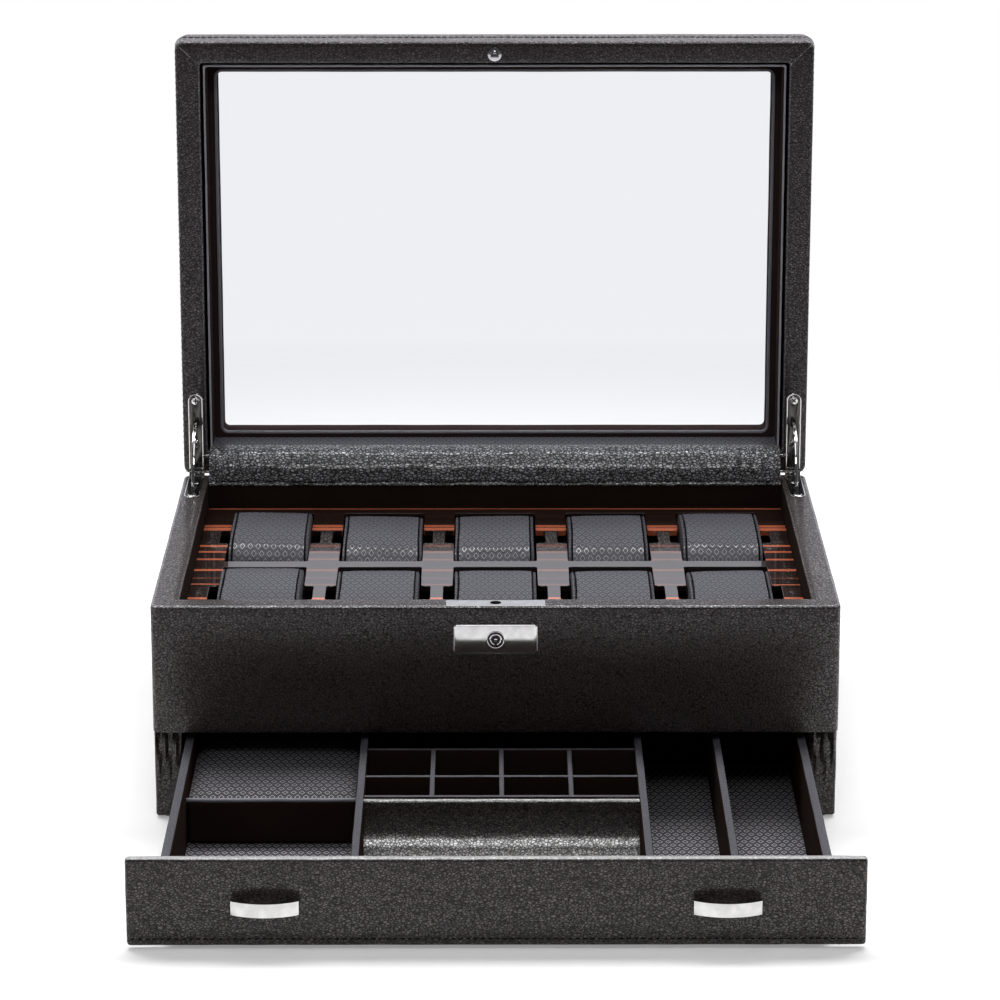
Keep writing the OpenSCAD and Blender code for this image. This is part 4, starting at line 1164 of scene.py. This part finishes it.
def scoop(leather, painted_highlight):
    """The leather trough in front of the small compartments."""
    low, high = corners("coin_scoop", (0.1, 0.0, 0.0), (-0.1, 0.0, 0.0))
    r, floor, under = 32.2, 11.3, 10.4
    front, rim_y, lip_z = low[1] + 0.1, -38.6 + DRAWER_OUT, 43.2
    profile = [(front, floor - 0.6), (front, floor)]
    profile += [(y + DRAWER_OUT, floor) for y in (-100.0, -88.0, -78.0)]
    profile += [(rim_y - r + r * math.sin(math.radians(a)), floor + r - r * math.cos(math.radians(a)))
                for a in range(0, 89, 4)]
    profile += [(rim_y + y, z) for y, z in ((0.05, 42.6), (0.5, 43.5), (1.3, 43.9), (2.1, 43.6), (2.6, 42.9),
                                            (4.2, 42.6), (6.6, 42.5), (6.7, 41.5), (6.7, under))]
    profile.append((-90.0 + DRAWER_OUT, under))
    count = 64
    points = []
    for i in range(count + 1):
        x = low[0] + (high[0] - low[0]) * i / count
        points += [swayed((x, y, z), 0.16, 11.0) for y, z in profile]
    form = Form().add(points, tube(count + 1, len(profile)))
    # The lip of the trough is in the pale edge leather, which paints a highlight there.
    form.kinds = [int(min(form.points[k][2] for k in face) > lip_z) for face in form.faces]
    piece("scoop", form, "drawer", [leather, painted_highlight], ("coin_scoop",), crease=60.0)


# Stage

def ray_kinds(w):
    """Wires that are 1 for what the camera sees, for reflections, and for what is seen through glass."""
    seen = w.node("LightPath", None, None, "Is Camera Ray")
    return seen, seen.beside("Is Glossy Ray"), seen.beside("Is Transmission Ray")


def pale_floor():
    """A floor that takes the shadow near the box and is plain white further off."""
    made, w = new_finish("pale_floor")
    seen, glossy, through = ray_kinds(w)
    place = w.node("TexCoord", out="Object")
    mottle = speckle(w, place, 3.0)
    plain = w.node("BsdfDiffuse", None, {"Color": mottle.mix((0.80, 0.80, 0.80), (0.82, 0.82, 0.82))})
    lift = seen.or_more(glossy).or_more(through) * 0.28
    glow = w.node("Emission", None, {"Color": (1, 1, 1, 1), "Strength": lift})
    near = w.node("AddShader", None, {0: plain, 1: glow})
    y = w.node("SeparateXYZ", None, {0: place}, 1)
    lit = seen.or_more(through).or_more(glossy * y.between(-2.3, -1.5))
    cool = glossy.mix((1.0, 1.0, 1.0), (0.95, 0.925, 1.0))
    far = w.node("Emission", None, {"Color": cool, "Strength": 0.12 + lit * 0.88})
    reach = w.node("VectorMath", {"operation": "LENGTH"}, {0: place}, "Value").between(0.42, 0.85)
    seal(w, w.node("MixShader", None, {0: reach, 1: near, 2: far}))
    mesh = bpy.data.meshes.new("floor")
    size = 9.0
    mesh.from_pydata([(-size, -size, 0), (size, -size, 0), (size, size, 0), (-size, size, 0)], [],
                     [(0, 1, 2, 3)])
    mesh.materials.append(made)
    show("floor", mesh)


def studio_sky():
    """White to the camera and through glass, and a bright backdrop for reflections."""
    world = bpy.data.worlds.new("studio_sky")
    bpy.context.scene.world = world
    world.use_nodes = True
    world.node_tree.nodes.clear()
    w = Wire(world.node_tree)
    seen, glossy, through = ray_kinds(w)
    way = w.node("TexCoord", out="Generated")
    behind = w.node("SeparateXYZ", None, {0: way}, 1).between(-0.35, 0.3)
    strength = seen.or_more(through) + glossy * behind * 0.95
    strength = w.maths("MINIMUM", strength + 0.07, 1.0)
    cool = glossy.mix((1.0, 1.0, 1.0), (0.94, 0.945, 1.0))
    seal(w, w.node("Background", None, {"Color": cool, "Strength": strength}), "OutputWorld")


def lamp(name, place, aim, width, height, power):
    data = bpy.data.lights.new(name, "AREA")
    data.shape = "RECTANGLE"
    data.size, data.size_y, data.energy = width, height, power
    show(name, data).matrix_world = looking(place, Vector(aim) - Vector(place))


def studio():
    pale_floor()
    studio_sky()
    lamp("overhead_lamp", (0.0, 0.4, 1.55), (0.0, 0.0, 0.1), 2.4, 0.6, 42.0)
    lamp("front_lamp", (0.0, -1.25, 1.35), (0.0, -0.1, 0.1), 0.5, 0.4, 3.8)
    lamp("fill_lamp", (0.0, -0.55, 1.65), (0.0, -0.2, 0.05), 0.5, 0.8, 2.2)
    lamp("left_lamp", (-1.3, -0.8, 0.9), (-0.05, 0.0, 0.12), 0.45, 0.45, 1.0)
    lamp("right_lamp", (1.35, -0.8, 0.9), (0.05, 0.0, 0.12), 0.45, 0.45, 0.8)


# Assembly

def carry_over(finish, *nodes):
    """Gives nodes that keep their own shape a finish."""
    for node in nodes:
        slots = frame["nodes"][node].data.materials
        if not slots:
            slots.append(finish)
        for k in range(len(slots)):
            slots[k] = finish


camera()
leather = pebbled_leather("pebbled_leather", (0.007, 0.0028, 0.0019), (0.06, 0.037, 0.036))
# Pale leather that paints highlights on rounded edges and mitre lines, which are the same black leather.
painted_highlight_leather = pebbled_leather("painted_highlight_leather", (0.1, 0.095, 0.1), (0.3, 0.29, 0.3))
# The gusset is the same black leather; this paler copy paints the light that falls on it.
lit_gusset_leather = pebbled_leather("lit_gusset_leather", (0.014, 0.014, 0.014), (0.38, 0.38, 0.4),
                                 grain=0.0017, depth=0.0006)
# Pale leather that paints the highlight along the drawer face's top and the trough's lip.
painted_edge_highlight = pebbled_leather("painted_edge_highlight", (0.3, 0.3, 0.3), (0.58, 0.58, 0.58), grain=0.0012, depth=0.0001)
# The trough is the same black leather; this paler copy paints the light it reflects.
lit_scoop_leather = pebbled_leather("lit_scoop_leather", (0.01, 0.0075, 0.0065), (0.12, 0.1, 0.092),
                                rough=0.25, grain=0.0013, depth=0.0006, gloss=2.5)
SLATE_GROUND = ((0.0025, 0.0023, 0.0025), (0.007, 0.0066, 0.008))
FINE_WEAVE = {"across_pitch": 1.5, "along_pitch": 1.9}
slate = lattice_cloth("slate_lattice", *SLATE_GROUND, (0.6, 0.585, 0.64))
# The raised bed is the same slate cloth; this darker copy paints the shade that lies on it.
shaded_bed_cloth = lattice_cloth("shaded_bed_lattice", *SLATE_GROUND, (0.37, 0.355, 0.395))
cuff_cloth = lattice_cloth("cuff_lattice", (0.032, 0.032, 0.04), (0.058, 0.057, 0.07), (0.068, 0.067, 0.081),
                           satin=0.75)
board_cloth = lattice_cloth("board_cloth", (0.03, 0.03, 0.036), (0.07, 0.07, 0.084), (0.2, 0.2, 0.225),
                            **FINE_WEAVE)
# Pale cloth on the rounded edge of the lid's lining boards: a painted highlight.
painted_highlight_cloth = lattice_cloth("painted_highlight_cloth", (0.36, 0.35, 0.39), (0.46, 0.45, 0.5), (0.6, 0.59, 0.64),
                           **FINE_WEAVE)
# Pale cloth that paints the highlight on the lid lip's rounded edge and the bed's front cord.
highlight_lip_cloth = lattice_cloth("highlight_lip_cloth", (0.18, 0.18, 0.21), (0.25, 0.25, 0.285), (0.32, 0.32, 0.35),
                          **FINE_WEAVE)
# Brown suede of the lid's lip, also laid on the lid lining's walls as painted shade.
lid_suede = napped_felt("lid_suede", (0.02, 0.012, 0.012), (0.055, 0.034, 0.034))
# Dark nickel that paints shade on the hinge leaves' faces inside their polished borders.
shaded_nickel = polished_nickel("painted_shade_nickel", (0.10, 0.095, 0.09), 0.16)
# Dark brown suede: the case's lining, and also painted shade on the sides of the drawer's boards and bed.
brown = napped_felt("brown_suede", (0.011, 0.0063, 0.0048), (0.028, 0.0165, 0.0125))
felt = napped_felt("black_felt", (0.003, 0.0026, 0.0026), (0.009, 0.0075, 0.007))
ebony = striped_ebony("striped_ebony")
nickel = polished_nickel("polished_nickel")
thread = waxed_thread("waxed_thread")
glass = clear_glass("clear_glass")

case_shell(leather, brown, painted_highlight_leather)
case_skirt(leather, felt)
legs(leather)
watch_tray(ebony)
lid_frame(leather, lid_suede, highlight_lip_cloth, painted_highlight_leather)
lid_stitches(thread)
lid_inside(cuff_cloth, lid_suede, painted_highlight_cloth)
gusset(lit_gusset_leather)
hinge_screws(nickel)
hinge_bars(nickel)
# The leaf faces are in the dark nickel: painted shade inside the polished borders.
for tier, body in (("lower", "case"), ("upper", "lid")):
    for side in ("left", "right"):
        eased(f"{side}_{tier}_leaf", body, shaded_nickel, 0.2)
leaf_borders(nickel)
eased("hinge_pins", "case", nickel, 0.2)
for side in ("left", "right"):
    eased(f"{side}_stay", f"stay_{side}", nickel, 0.25)
key_plate(nickel)
eased("lock_rimplate", "case", nickel, 0.3, 14.0)
eased("lock_barrel", "barrel", nickel, 0.14)
eased("lock_stud", "lid", nickel, 0.35)
for side in ("left", "right"):
    eased(f"{side}_pull", "drawer", nickel, 0.4)
cuffs(cuff_cloth, thread)
drawer_boards(leather, painted_edge_highlight, board_cloth, brown, thread)
raised_bed(shaded_bed_cloth, brown, highlight_lip_cloth)
drawer_floor(slate)
drawer_grid(board_cloth, brown)
scoop(lit_scoop_leather, painted_edge_highlight)
carry_over(felt, "middle_shelf", "base_felt", "well_floor", "well_boards", "drawer_bottom")
carry_over(leather, "base_panel")
carry_over(brown, "back_lining", "drawer_runners")
carry_over(nickel, "lock_case", "lock_bolt", "pull_screws")
carry_over(glass, "lid_glass")
studio()

bpy.context.scene.view_settings.view_transform = "Standard"
